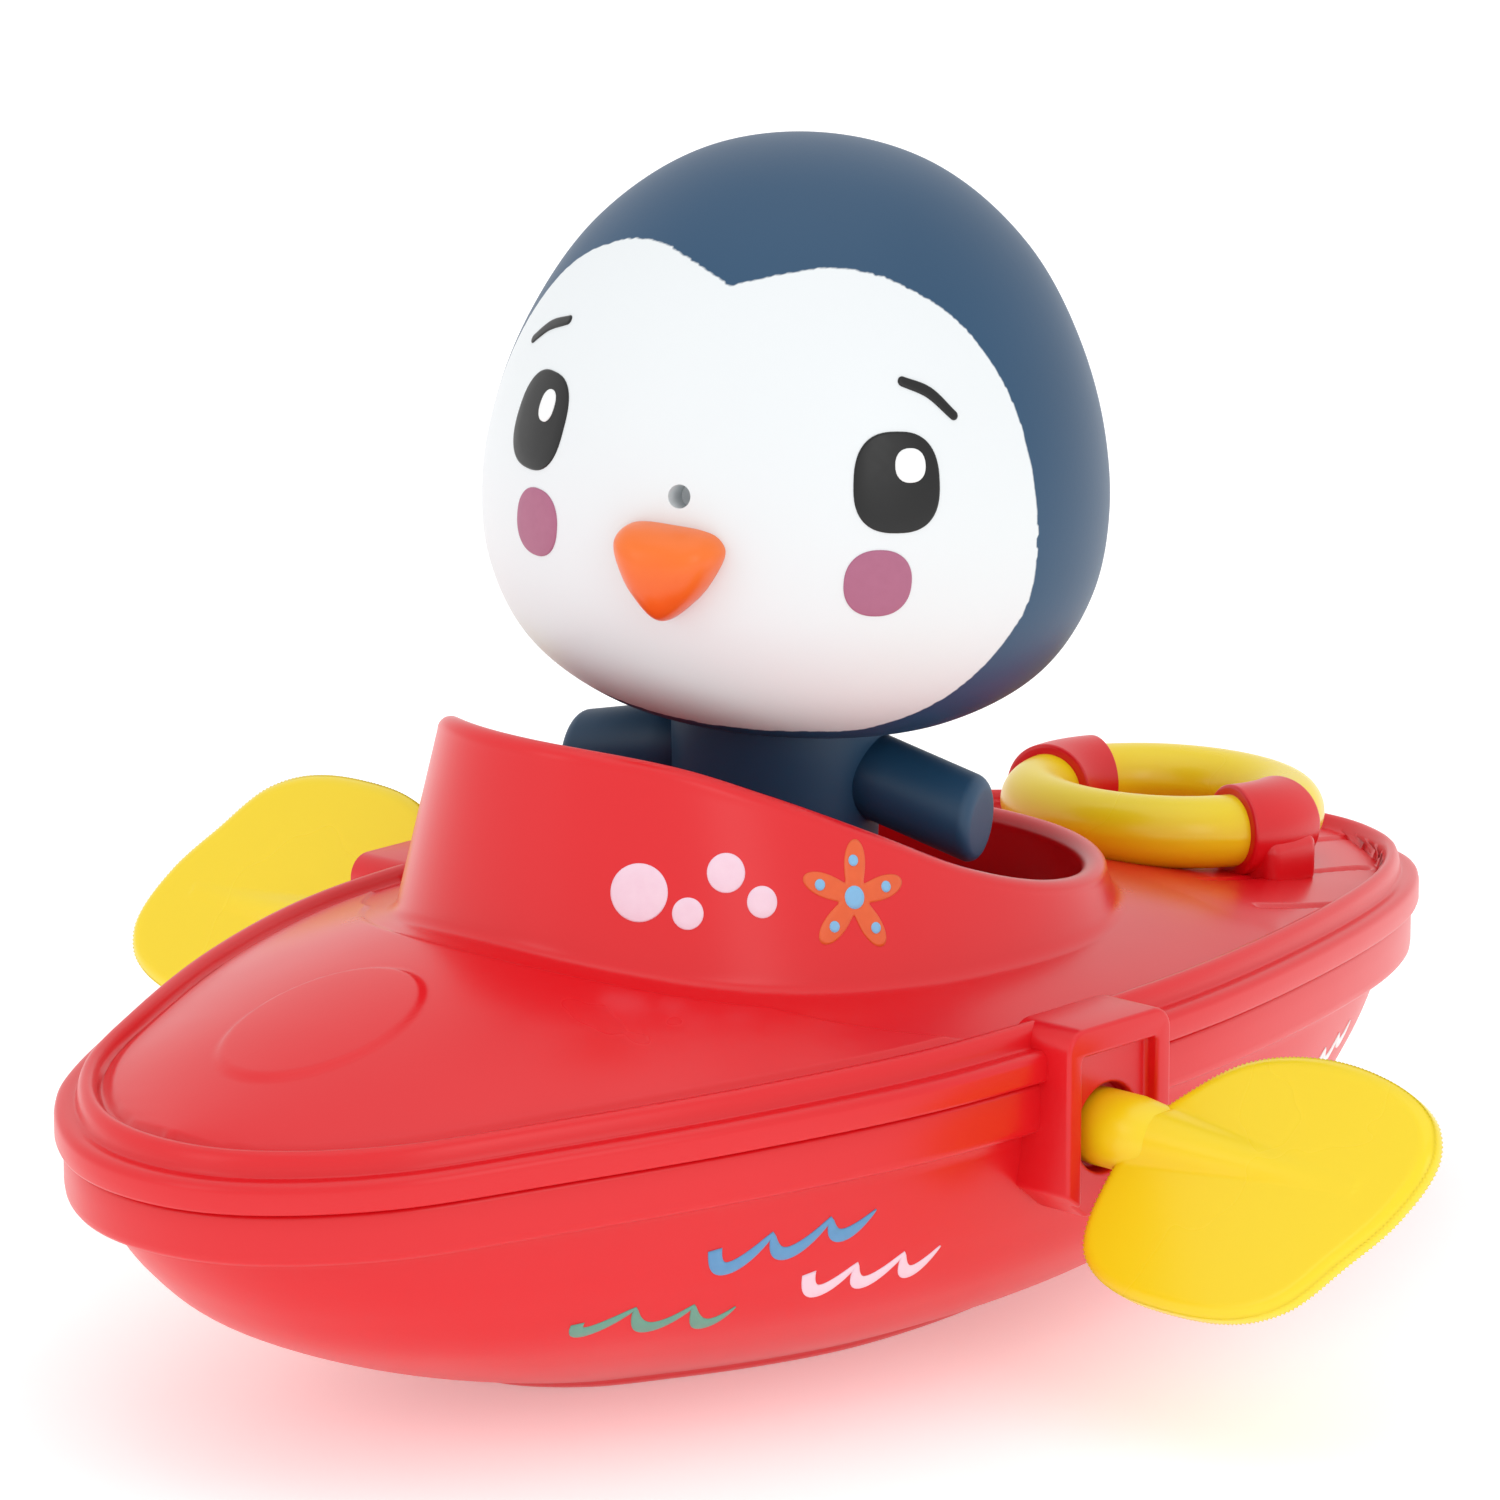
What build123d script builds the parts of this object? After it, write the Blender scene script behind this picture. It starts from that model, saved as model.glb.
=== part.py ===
from build123d import *
import math
import os

# Wind-up bath boat with a loose squirting penguin, in millimetres.
# X points to the bow, Y to port, Z up; the boat stands on Z = 0, centred on the origin.

# ---- hull and deck ----
LENGTH = 200.0
BEAM = 104.0
SEAM_Z = 37.0            # height of the hull-to-deck joint amidships
BOW_DROP = 4.9           # the joint line falls this much towards the bow
STERN_DROP = 6.5         # and this much towards the stern
HULL_WALL = 2.0
DECK_WALL = 2.2
SKIRT_DEPTH = 5.8        # flange below the joint
SKIRT_INSET = 1.0
RIM_HEIGHT = 3.4         # outer face of the deck edge
BEAD_HEIGHT = 6.2        # rounded bead inside it
BEAD_INSET = 3.0
DECK_INSET = 4.2         # where the crowned deck meets the bead
DECK_EDGE_HEIGHT = 4.6   # deck height at that line
BODY_INSET = 3.2         # hull side below the skirt
GASKET_INSET = 2.6       # groove for the gasket in the top of the flange
GASKET_WIDTH = 1.6
GASKET_DEPTH = 1.2

# half outline, as shares of the half length and the half beam, from bow to stern
OUTLINE = [(1.0, 0.0), (0.97, 0.25), (0.87, 0.487), (0.72, 0.655), (0.51, 0.84), (0.29, 0.965),
           (0.06, 1.0), (-0.15, 0.972), (-0.36, 0.88), (-0.59, 0.724), (-0.78, 0.54),
           (-0.92, 0.33), (-0.982, 0.15), (-1.0, 0.0)]

# hull below the skirt: height, bow end, stern end and half width as shares of the full size
HULL_LEVELS = [(0.0, 0.46, 0.56, 0.39), (5.5, 0.68, 0.73, 0.68), (12.0, 0.83, 0.86, 0.86),
               (19.0, 0.925, 0.93, 0.94), (28.0, 0.975, 0.975, 0.98), (44.0, 1.0, 1.0, 1.0)]

# deck crown on the centreline: share of the half length, height above the joint amidships
DECK_CROWN = [(1.06, -3.0), (0.92, 2.4), (0.73, 8.4), (0.5, 12.6), (0.2, 12.0), (-0.1, 9.6),
              (-0.4, 6.6), (-0.5, 3.3), (-0.6, 2.4), (-0.75, 1.0), (-0.88, -0.6), (-1.06, -3.4)]

# ---- coaming round the cockpit: front, aft and half width at two heights above the joint ----
COAMING_LOW = (5.0, 46.0, -41.0, 35.5)
COAMING_TOP = (37.0, 41.5, -30.0, 26.5)
COAMING_WIDEST = 4.0     # X of its widest point
COAMING_WALL = 3.0
# rim height above the joint, along X
COAMING_RIM = [(-50, 11.4), (-36, 11.6), (-20, 12.4), (-8, 14.4), (4, 18.4), (16, 24.0), (28, 29.6),
               (38, 33.2), (52, 35.4)]

# ---- foredeck emboss and aft planks ----
OVAL_X = 72.0
OVAL_LENGTH = 25.0
OVAL_WIDTH = 20.0
OVAL_LINE = 0.9
OVAL_RAISE = 0.5
PLANK_PITCH = 12.0
PLANK_GROOVE = 1.2
PLANK_DEPTH = 0.7
PLANK_START = -52.0
PLANK_END = -93.0

# ---- cockpit tub ----
TUB_WALL = 1.6
TUB_FLOOR = 1.6
TUB_GAP = 0.3
TUB_LIP = 9.5            # how far the tub reaches up inside the coaming, above the joint

# ---- paddle drive ----
AXLE_X = 5.2
AXLE_Z = 30.5
AXLE_D = 3.0
RUN_FIT = 0.05           # radial clearance of running shafts
BRACKET_WIDTH = 16.8
BRACKET_TOP = 43.0
BRACKET_BOTTOM = 21.0
BRACKET_BACK = 46.5
BRACKET_FACE = 55.0
BRACKET_RECESS = 1.8
BRACKET_FLANGE = 2.2
HUB_R = 4.3
HUB_START = 51.2
HUB_HOLE_GAP = 0.5
BUSH_R = 3.0
BUSH_START = 44.6
BUSH_END = 49.4
SEAL_R = 3.6
SEAL_LENGTH = 1.2
BLADE_T = 3.2
BLADE_ROOT = 56.2
BLADE_TIP = 96.4
RIDGE_END = 86.0
PORT_PHASE = 124.8       # blade direction about the axle, from the bow upwards
STARBOARD_PHASE = 304.8
# blade outline: distance along the axle as a share from root to tip, height across the axle
BLADE_OUTLINE = [(0.0, -9.0), (0.04, 0.0), (0.13, 5.0), (0.3, 10.6), (0.53, 13.0), (0.77, 12.4), (0.94, 9.6),
                 (1.0, 5.0), (0.95, -2.0), (0.84, -8.5), (0.73, -14.2), (0.58, -17.2), (0.36, -18.1),
                 (0.15, -17.2), (0.03, -14.2)]

# ---- wind-up motor ----
MODULE = 0.8
PINION_TEETH = 10
GEAR_TEETH = 30
MESH_ANGLE_OUT = 238.0   # intermediate shaft seen from the axle
MESH_ANGLE_DRUM = 175.0  # spring drum seen from the intermediate shaft
CASE_WALL = 1.3
CASE_STARBOARD = -9.5
CASE_PORT = 11.5
CASE_PAST_AXLE = 9.8     # room for the output pinion beside a screw boss
DRUM_R = 10.6
DRUM_WALL = 0.9
DRUM_START = -7.6
DRUM_GEAR_START = 1.6
DRUM_GEAR_W = 2.6
STAGE_GEAR_START = 6.2
STAGE_GEAR_W = 2.4
PINION_EXTRA = 0.4       # pinions stand this much wider than their gear on each side
SHAFT_D = 2.4
ARBOR_D = 3.6
SPRING_T = 0.35
SPRING_TURNS = 7

# ---- life ring ----
RING_X = -65.8
RING_Z = 43.8
RING_R = 14.8
RING_TUBE = 4.2
RING_PITCH = -3.0        # the ring follows the falling aft deck
RING_GAP = 0.1           # between the ring and its seat in the deck
STRAP_ARC = 34.0
STRAP_T = 1.1
STRAP_GAP = 0.05
STRAP_FOOT = 7.5

# ---- penguin figure ----
FIGURE_HEADING = 27.0    # turned to port
FIGURE_LEAN = 4.0
FIGURE_X = 2.3           # its foot stands off the middle, so the head is over the middle
FIGURE_Y = -3.6
FIGURE_WALL = 2.2
FIGURE_BASE_GAP = 0.3
BODY_R = 11.8
BODY_FOOT_R = 13.0
BODY_TAPER_H = 14.0
ARM_R = 4.4
ARM_ROOT = 4.0
ARM_REACH = 24.0
ARM_Z = 20.0             # height of its middle above the foot of the figure
ARM_DROP = 4.0
ARM_ROUND = 1.6
SQUIRT_D = 2.6
SQUIRT_Z = 60.5
# head half profile: radius, height above the foot
HEAD_PROFILE = [(0.0, 93.5), (13.0, 90.8), (24.2, 81.8), (30.4, 71.4), (33.8, 61.0), (34.8, 53.0),
                (33.8, 44.2), (29.8, 36.4), (22.0, 30.6), (11.0, 27.8)]
BEAK_Z = 51.6
BEAK_R = 5.8
BEAK_OUT = 6.6
BEAK_SINK = 1.6          # how deep its root lies inside the face

# ---- screws ----
SCREW_D = 2.6
SCREW_HEAD_D = 5.0
SCREW_HEAD_H = 1.8
BOSS_R = 4.4
BOSS_TOP = 12.0
HEAD_RECESS = 5.0
HULL_SCREW_LENGTH = 14.0
CASE_SCREW_D = 1.8
CASE_SCREW_HEAD_D = 3.2
CASE_SCREW_INSET = 3.2

HALF = LENGTH / 2
HALF_BEAM = BEAM / 2
FLOOR_Z = SEAM_Z + TUB_FLOOR
REACH = LENGTH           # long enough to cut through everything


def sheer(x):
    """Height of the joint line above its level amidships."""
    u = x / HALF
    drop = BOW_DROP if u > 0 else STERN_DROP
    return -drop * u * u


def outline_points(inset=0.0):
    """Half outline, drawn in by an inset at the ends and the sides."""
    return [(x * (HALF - inset), y * (HALF_BEAM - inset)) for x, y in OUTLINE]


def closed_outline(points):
    """Face bounded by a half outline and its mirror image, as one smooth closed curve."""
    starboard = [(x, -y) for x, y in reversed(points[1:-1])]
    return make_face(Spline(*points, *starboard, periodic=True).edge())


def prism(inset, low=-20.0, high=90.0):
    """Upright solid inside the inset outline."""
    face = closed_outline(outline_points(inset))
    return Pos(0, 0, low) * extrude(face, high - low)


def band(low, high):
    """Slab between two heights measured from the curved joint line."""
    def arc(offset):
        ends = [(x, SEAM_Z + offset + sheer(x)) for x in (-1.2 * HALF, 0.0, 1.2 * HALF)]
        return ThreePointArc(*ends)
    bottom = arc(low)
    top = arc(high)
    sides = [Line(bottom @ 0, top @ 0), Line(bottom @ 1, top @ 1)]
    face = make_face([bottom.edge(), top.edge(), sides[0].edge(), sides[1].edge()])
    return Pos(0, BEAM, 0) * extrude(Plane.XZ * face, 2 * BEAM)


def hull_form(wall=0.0):
    """Lower hull as a loft through level outlines, or its inside when a wall is given."""
    sections = []
    for i, (z, bow, stern, half) in enumerate(HULL_LEVELS):
        inset = BODY_INSET + wall
        pts = []
        for x, y in outline_points(inset):
            pts.append((x * (bow if x > 0 else stern), y * half))
        level = z + wall if i == 0 else z
        sections.append(Pos(0, 0, level) * closed_outline(pts))
    return loft(sections)


def egg(front, aft, half):
    """Half outline of the coaming: two half ellipses that meet at the widest point."""
    pts = []
    for k in range(0, 9):
        a = math.pi * k / 8
        end = front if a < math.pi / 2 else aft
        x = COAMING_WIDEST + abs(end - COAMING_WIDEST) * math.copysign(abs(math.cos(a)) ** 0.9, math.cos(a))
        pts.append((x, half * math.sin(a) ** 0.9))
    pts[0] = (front, 0.0)
    pts[-1] = (aft, 0.0)
    return pts


def coaming_at(height, inset=0.0):
    """Egg of the coaming at a height above the joint."""
    share = (height - COAMING_LOW[0]) / (COAMING_TOP[0] - COAMING_LOW[0])
    front, aft, half = [a + (b - a) * share for a, b in zip(COAMING_LOW[1:], COAMING_TOP[1:])]
    return egg(front - inset, aft + inset, half - inset)


def coaming_form(low, high, inset=0.0):
    """Tapered solid inside the coaming between two heights above the joint."""
    bottom = Pos(0, 0, SEAM_Z + low) * closed_outline(coaming_at(low, inset))
    top = Pos(0, 0, SEAM_Z + high) * closed_outline(coaming_at(high, inset))
    return loft([bottom, top])


def under_rim():
    """Everything below the coaming's sweeping rim, seen from the side."""
    points = [(x, SEAM_Z + z) for x, z in COAMING_RIM]
    rim = Spline(*points)
    left, right = points[0][0], points[-1][0]
    edge = Polyline((right, points[-1][1]), (right, -REACH), (left, -REACH), (left, points[0][1]))
    return Pos(0, BEAM, 0) * extrude(Plane.XZ * make_face([rim.edge()] + edge.edges()), 2 * BEAM)


def deck_surface(lower=0.0):
    """Solid under the crowned deck, lofted through upright cross sections."""
    half_widths = outline_points(DECK_INSET)
    sections = []
    for share, crown in DECK_CROWN:
        x = share * HALF
        near = min(half_widths, key=lambda p: abs(p[0] - x))
        width = max(near[1], 0.2 * HALF_BEAM)
        edge = sheer(x) + DECK_EDGE_HEIGHT
        fall = max(crown - edge, 0.3)
        spread = HALF_BEAM
        drop = min(fall * (spread / width) ** 2, 0.6 * HALF_BEAM)
        top_z = SEAM_Z + crown - lower
        mid = (0.5 * spread, top_z - drop / 4)
        end = (spread, top_z - drop)
        arc = Spline((-end[0], end[1]), (-mid[0], mid[1]), (0, top_z), mid, end)
        base = Polyline(end, (spread, -30), (-spread, -30), (-end[0], end[1]))
        sections.append(Plane(origin=(x, 0, 0), x_dir=(0, 1, 0), z_dir=(1, 0, 0))
                        * make_face([arc.edge()] + base.edges()))
    return loft(sections)


def tube(outer, inner, start, end, x=0.0, z=0.0):
    """Ring or sleeve whose axis lies across the boat."""
    face = Circle(outer) - Circle(inner) if inner else Circle(outer)
    return Pos(x, end, z) * extrude(Plane.XZ * face, end - start)


def rod(radius, start, end, x=0.0, z=0.0):
    return tube(radius, 0, start, end, x, z)


def upright(radius, low, high, x, y):
    return Pos(x, y, low) * extrude(Circle(radius), high - low)


def side_box(width, start, end, bottom, top, x=AXLE_X):
    """Box beside the hull, given by its width along the boat and its side and height limits."""
    size = (width, end - start, top - bottom)
    return Pos(x, (start + end) / 2, (bottom + top) / 2) * Box(*size)


def to_side(shape, side):
    return shape if side > 0 else mirror(shape, Plane.XZ)


def turned(x, z, angle, reach):
    a = math.radians(angle)
    return x + reach * math.cos(a), z + reach * math.sin(a)


SIDES = {"port": 1, "starboard": -1}
HULL_SCREWS = [(0.52 * HALF, 0.0), (-0.47 * HALF, 8.0), (-0.47 * HALF, -8.0)]
CENTRE_DISTANCE = MODULE * (PINION_TEETH + GEAR_TEETH) / 2
STAGE_X, STAGE_Z = turned(AXLE_X, AXLE_Z, MESH_ANGLE_OUT, CENTRE_DISTANCE)
DRUM_X, DRUM_Z = turned(STAGE_X, STAGE_Z, MESH_ANGLE_DRUM, CENTRE_DISTANCE)
parts = {}


# ---- hull shell: flange and body, with wells for the brackets and the long screws ----
def gasket_ring(low, high):
    """Narrow ring that follows the outline between two heights from the joint."""
    outer = closed_outline(outline_points(GASKET_INSET))
    inner = closed_outline(outline_points(GASKET_INSET + GASKET_WIDTH))
    return extrude(outer - inner, 90) & band(low, high)


def make_hull():
    outside = hull_form()
    shell = (prism(SKIRT_INSET) & band(-SKIRT_DEPTH, 0)) + (outside & band(-BEAM, -SKIRT_DEPTH / 2))
    shell -= hull_form(HULL_WALL)
    shell -= gasket_ring(-GASKET_DEPTH, 1)
    for x, y in HULL_SCREWS:
        shell += upright(BOSS_R, 0, BOSS_TOP, x, y) & outside
        shell -= upright(SCREW_D / 2 + 0.2, -1, BOSS_TOP + 1, x, y)
        shell -= upright(SCREW_HEAD_D / 2 + 0.3, -1, HEAD_RECESS, x, y)
    for side in SIDES.values():
        shell -= to_side(bracket_block(), side)
    return shell - rod(BUSH_R, -HALF_BEAM, HALF_BEAM, AXLE_X, AXLE_Z)


def bracket_block():
    """Full envelope of one axle bracket."""
    return side_box(BRACKET_WIDTH, BRACKET_BACK, BRACKET_FACE, BRACKET_BOTTOM, BRACKET_TOP)


def make_gasket():
    gasket = gasket_ring(-GASKET_DEPTH, 0)
    for side in SIDES.values():
        gasket -= to_side(bracket_block(), side)
    return gasket


# ---- deck shell: rim, bead, crowned deck and coaming in one moulding ----
def make_deck():
    rim = prism(0) & band(-REACH / 8, RIM_HEIGHT)
    bead = prism(BEAD_INSET, SEAM_Z - REACH / 9) & band(-REACH / 5, BEAD_HEIGHT)
    crown = prism(DECK_INSET) & deck_surface()
    cavity = prism(DECK_INSET + DECK_WALL) & deck_surface(DECK_WALL)
    wall = coaming_form(-2, 44) & under_rim()
    deck = (rim + bead - prism(DECK_INSET)) + crown + wall - cavity
    deck = deck & band(0, REACH / 4)
    deck -= coaming_form(-4, 48, COAMING_WALL)
    oval = Ellipse(OVAL_LENGTH / 2, OVAL_WIDTH / 2) - Ellipse(OVAL_LENGTH / 2 - OVAL_LINE,
                                                               OVAL_WIDTH / 2 - OVAL_LINE)
    deck += (Pos(OVAL_X, 0, SEAM_Z) * extrude(oval, 40)) & deck_surface(-OVAL_RAISE)
    for k in range(-1, 3):
        y = (k - 0.5) * PLANK_PITCH
        length = PLANK_START - PLANK_END
        cut = Pos((PLANK_START + PLANK_END) / 2, y, SEAM_Z) * Box(length, PLANK_GROOVE, 60)
        cut &= prism(DECK_INSET + 1.5)
        deck -= cut - deck_surface(PLANK_DEPTH)
    for x, y in HULL_SCREWS:
        post = upright(BOSS_R, BOSS_TOP, SEAM_Z + 20, x, y) & deck_surface(DECK_WALL / 2)
        deck += post
        deck -= upright(SCREW_D / 2, BOSS_TOP - 1, HEAD_RECESS + HULL_SCREW_LENGTH, x, y)
    for side in SIDES.values():
        deck -= to_side(bracket_block(), side)
    return deck - place_ring(Torus(RING_R, RING_TUBE + RING_GAP))


# ---- cockpit tub, hung inside the coaming ----
def make_tub():
    inset = COAMING_WALL + TUB_GAP
    outer = coaming_form(0, TUB_LIP, inset)
    inner = coaming_form(TUB_FLOOR, TUB_LIP + 1, inset + TUB_WALL)
    return outer - inner


# ---- axle brackets, bushes and seals ----
def make_bracket():
    block = bracket_block()
    block = fillet(block.edges().filter_by(Axis.Y), 1.2)
    recess_w = BRACKET_WIDTH - 2 * BRACKET_FLANGE
    block -= side_box(recess_w, BRACKET_FACE - BRACKET_RECESS, BRACKET_FACE + 1,
                      BRACKET_BOTTOM - 1, BRACKET_TOP - BRACKET_FLANGE)
    block -= rod(HUB_R + HUB_HOLE_GAP, HUB_START - 0.4, BRACKET_FACE + 1, AXLE_X, AXLE_Z)
    block -= rod(BUSH_R, BRACKET_BACK - 1, BUSH_END, AXLE_X, AXLE_Z)
    block -= rod(SEAL_R, BUSH_END, HUB_START - 0.3, AXLE_X, AXLE_Z)
    return block


def make_bush():
    return tube(BUSH_R, AXLE_D / 2 + RUN_FIT, BUSH_START, BUSH_END, AXLE_X, AXLE_Z)


def make_seal():
    return tube(SEAL_R, AXLE_D / 2 + RUN_FIT, BUSH_END, BUSH_END + SEAL_LENGTH, AXLE_X, AXLE_Z)


# ---- paddles: a hub, a flat blade and a ridge that runs out along it ----
def blade_outline():
    pts = []
    for along, across in BLADE_OUTLINE:
        pts.append((across, BLADE_ROOT + along * (BLADE_TIP - BLADE_ROOT)))
    return pts


def make_paddle():
    loop = Spline(*blade_outline(), periodic=True)
    blade = Pos(0, 0, -BLADE_T / 2) * extrude(make_face(loop.edge()), BLADE_T)
    blade = fillet(blade.edges(), BLADE_T * 0.38)
    ridge_length = RIDGE_END - BLADE_ROOT
    ridge = Rot(-90, 0, 0) * Cone(HUB_R, BLADE_T * 0.3, ridge_length)
    ridge = Pos(0, (BLADE_ROOT + RIDGE_END) / 2, 0) * ridge
    hub = rod(HUB_R, HUB_START, BLADE_ROOT)
    paddle = hub + blade + ridge
    return paddle - rod(AXLE_D / 2, HUB_START - 1, BLADE_ROOT + 6)


def placed_paddle(side, phase):
    paddle = Rot(0, -phase, 0) * make_paddle()
    return to_side(Pos(AXLE_X, 0, AXLE_Z) * paddle, side)


# ---- gears: straight-sided teeth with room to run ----
def gear_face(teeth, phase):
    pitch_r = MODULE * teeth / 2
    root_r = pitch_r - 1.15 * MODULE
    tip_r = pitch_r + 0.85 * MODULE
    step = 360 / teeth
    points = []
    for k in range(teeth):
        middle = phase + k * step
        for radius, share in ((root_r, -0.30), (tip_r, -0.11), (tip_r, 0.11), (root_r, 0.30)):
            a = math.radians(middle + share * step)
            points.append((radius * math.cos(a), radius * math.sin(a)))
    return make_face(Polyline(*points, close=True).edges())


def gear(teeth, phase, start, width, x, z):
    """Spur gear on an axis across the boat; phase is the angle of one tooth, from the bow upwards."""
    return Pos(x, start + width, z) * extrude(Plane.XZ * gear_face(teeth, phase), width)


def half_tooth(teeth):
    return 180 / teeth


def make_output_pinion():
    width = STAGE_GEAR_W + 2 * PINION_EXTRA
    body = gear(PINION_TEETH, MESH_ANGLE_OUT, STAGE_GEAR_START - PINION_EXTRA, width, AXLE_X, AXLE_Z)
    return body - rod(AXLE_D / 2, CASE_STARBOARD, CASE_PORT, AXLE_X, AXLE_Z)


def make_stage_gear():
    phase = MESH_ANGLE_OUT + 180 + half_tooth(GEAR_TEETH)
    body = gear(GEAR_TEETH, phase, STAGE_GEAR_START, STAGE_GEAR_W, STAGE_X, STAGE_Z)
    width = STAGE_GEAR_START - DRUM_GEAR_START + PINION_EXTRA
    start = DRUM_GEAR_START - PINION_EXTRA
    body += gear(PINION_TEETH, MESH_ANGLE_DRUM, start, width, STAGE_X, STAGE_Z)
    return body - rod(SHAFT_D / 2 + RUN_FIT, CASE_STARBOARD, CASE_PORT, STAGE_X, STAGE_Z)


def make_drum():
    phase = MESH_ANGLE_DRUM + 180 + half_tooth(GEAR_TEETH)
    body = gear(GEAR_TEETH, phase, DRUM_GEAR_START, DRUM_GEAR_W, DRUM_X, DRUM_Z)
    body += rod(DRUM_R, DRUM_START, DRUM_GEAR_START, DRUM_X, DRUM_Z)
    body -= rod(DRUM_R - DRUM_WALL, DRUM_START - 1, DRUM_GEAR_START - 0.6, DRUM_X, DRUM_Z)
    return body - rod(ARBOR_D / 2 + RUN_FIT, CASE_STARBOARD, CASE_PORT, DRUM_X, DRUM_Z)


def make_mainspring():
    """Flat spiral strip that fills the drum, drawn as rings joined by short steps."""
    inner = ARBOR_D / 2 + 0.6
    outer = DRUM_R - DRUM_WALL - 0.1
    count = 40 * SPRING_TURNS
    inside = []
    outside = []
    for k in range(count + 1):
        a = 2 * math.pi * SPRING_TURNS * k / count
        r = inner + (outer - SPRING_T - inner) * k / count
        inside.append((r * math.cos(a), r * math.sin(a)))
        outside.append(((r + SPRING_T) * math.cos(a), (r + SPRING_T) * math.sin(a)))
    strip = make_face(Polyline(*inside, *reversed(outside), close=True).edges())
    width = DRUM_GEAR_START - DRUM_START - 1.6
    return Pos(DRUM_X, DRUM_START + 0.4 + width, DRUM_Z) * extrude(Plane.XZ * strip, width)


# ---- motor case: a cup and its cover, closed by four screws ----
CASE_LEFT = DRUM_X - MODULE * (GEAR_TEETH / 2 + 1) - CASE_WALL
CASE_RIGHT = AXLE_X + CASE_PAST_AXLE
CASE_BOTTOM = HULL_WALL
CASE_TOP = SEAM_Z


def case_block(start, end, inset=0.0):
    width = CASE_RIGHT - CASE_LEFT - 2 * inset
    height = CASE_TOP - CASE_BOTTOM - 2 * inset
    face = RectangleRounded(width, height, 3.0)
    face = Pos((CASE_LEFT + CASE_RIGHT) / 2, (CASE_BOTTOM + CASE_TOP) / 2) * face
    return Pos(0, end, 0) * extrude(Plane.XZ * face, end - start)


def case_screw_places():
    i = CASE_SCREW_INSET
    return [(x, z) for x in (CASE_LEFT + i, CASE_RIGHT - i) for z in (CASE_BOTTOM + i, CASE_TOP - i)]


def make_case():
    cup = case_block(CASE_STARBOARD, CASE_PORT - CASE_WALL)
    cup -= case_block(CASE_STARBOARD + CASE_WALL, CASE_PORT, CASE_WALL)
    bosses = Part() + [rod(2.0, CASE_STARBOARD, CASE_PORT - CASE_WALL, x, z) for x, z in case_screw_places()]
    cup += bosses & case_block(CASE_STARBOARD, CASE_PORT - CASE_WALL)
    for x, z in case_screw_places():
        cup -= rod(CASE_SCREW_D / 2, 0, CASE_PORT, x, z)
    cup -= rod(AXLE_D / 2 + RUN_FIT, CASE_STARBOARD - 1, 0, AXLE_X, AXLE_Z)
    cup -= rod(SHAFT_D / 2, CASE_STARBOARD - 1, 0, STAGE_X, STAGE_Z)
    return cup - rod(ARBOR_D / 2, CASE_STARBOARD - 1, 0, DRUM_X, DRUM_Z)


def make_cover():
    plate = case_block(CASE_PORT - CASE_WALL, CASE_PORT)
    for x, z in case_screw_places():
        plate -= rod(CASE_SCREW_D / 2 + 0.1, 0, CASE_PORT + 1, x, z)
    plate -= rod(AXLE_D / 2 + RUN_FIT, 0, CASE_PORT + 1, AXLE_X, AXLE_Z)
    plate -= rod(SHAFT_D / 2, 0, CASE_PORT + 1, STAGE_X, STAGE_Z)
    return plate - rod(ARBOR_D / 2, 0, CASE_PORT + 1, DRUM_X, DRUM_Z)


def make_case_screws():
    screws = []
    for x, z in case_screw_places():
        stem = rod(CASE_SCREW_D / 2, CASE_PORT - CASE_WALL - 6, CASE_PORT, x, z)
        screws.append(stem + rod(CASE_SCREW_HEAD_D / 2, CASE_PORT, CASE_PORT + 1.2, x, z))
    return Compound(screws)


def make_hull_screws():
    screws = []
    for x, y in HULL_SCREWS:
        stem = upright(SCREW_D / 2, HEAD_RECESS, HEAD_RECESS + HULL_SCREW_LENGTH, x, y)
        head = upright(SCREW_HEAD_D / 2, HEAD_RECESS - SCREW_HEAD_H, HEAD_RECESS, x, y)
        slot = Pos(x, y, HEAD_RECESS - SCREW_HEAD_H) * (Box(3.4, 0.7, 1.6) + Box(0.7, 3.4, 1.6))
        screws.append(stem + head - slot)
    return Compound(screws)


# ---- life ring and the two straps that hold it to the deck ----
def place_ring(shape):
    return Pos(RING_X, 0, RING_Z) * Rot(0, RING_PITCH, 0) * shape


def make_strap():
    band_r = RING_TUBE + STRAP_T
    section = Pos(RING_R, 0) * (Circle(band_r) - Circle(RING_TUBE + STRAP_GAP))
    swept = revolve(Plane.XZ * section, Axis.Z, STRAP_ARC)
    strap = Rot(0, 0, 90 - STRAP_ARC / 2) * swept
    strap = place_ring(strap)
    foot_y = RING_R + 0.4 * RING_TUBE
    foot = Pos(RING_X, foot_y, RING_Z - 6) * Box(STRAP_FOOT, STRAP_FOOT, 12)
    foot = fillet(foot.edges().filter_by(Axis.Z), 1.5)
    ring_room = place_ring(Torus(RING_R, RING_TUBE + STRAP_GAP))
    return strap + (foot - ring_room) - deck_surface()


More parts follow.
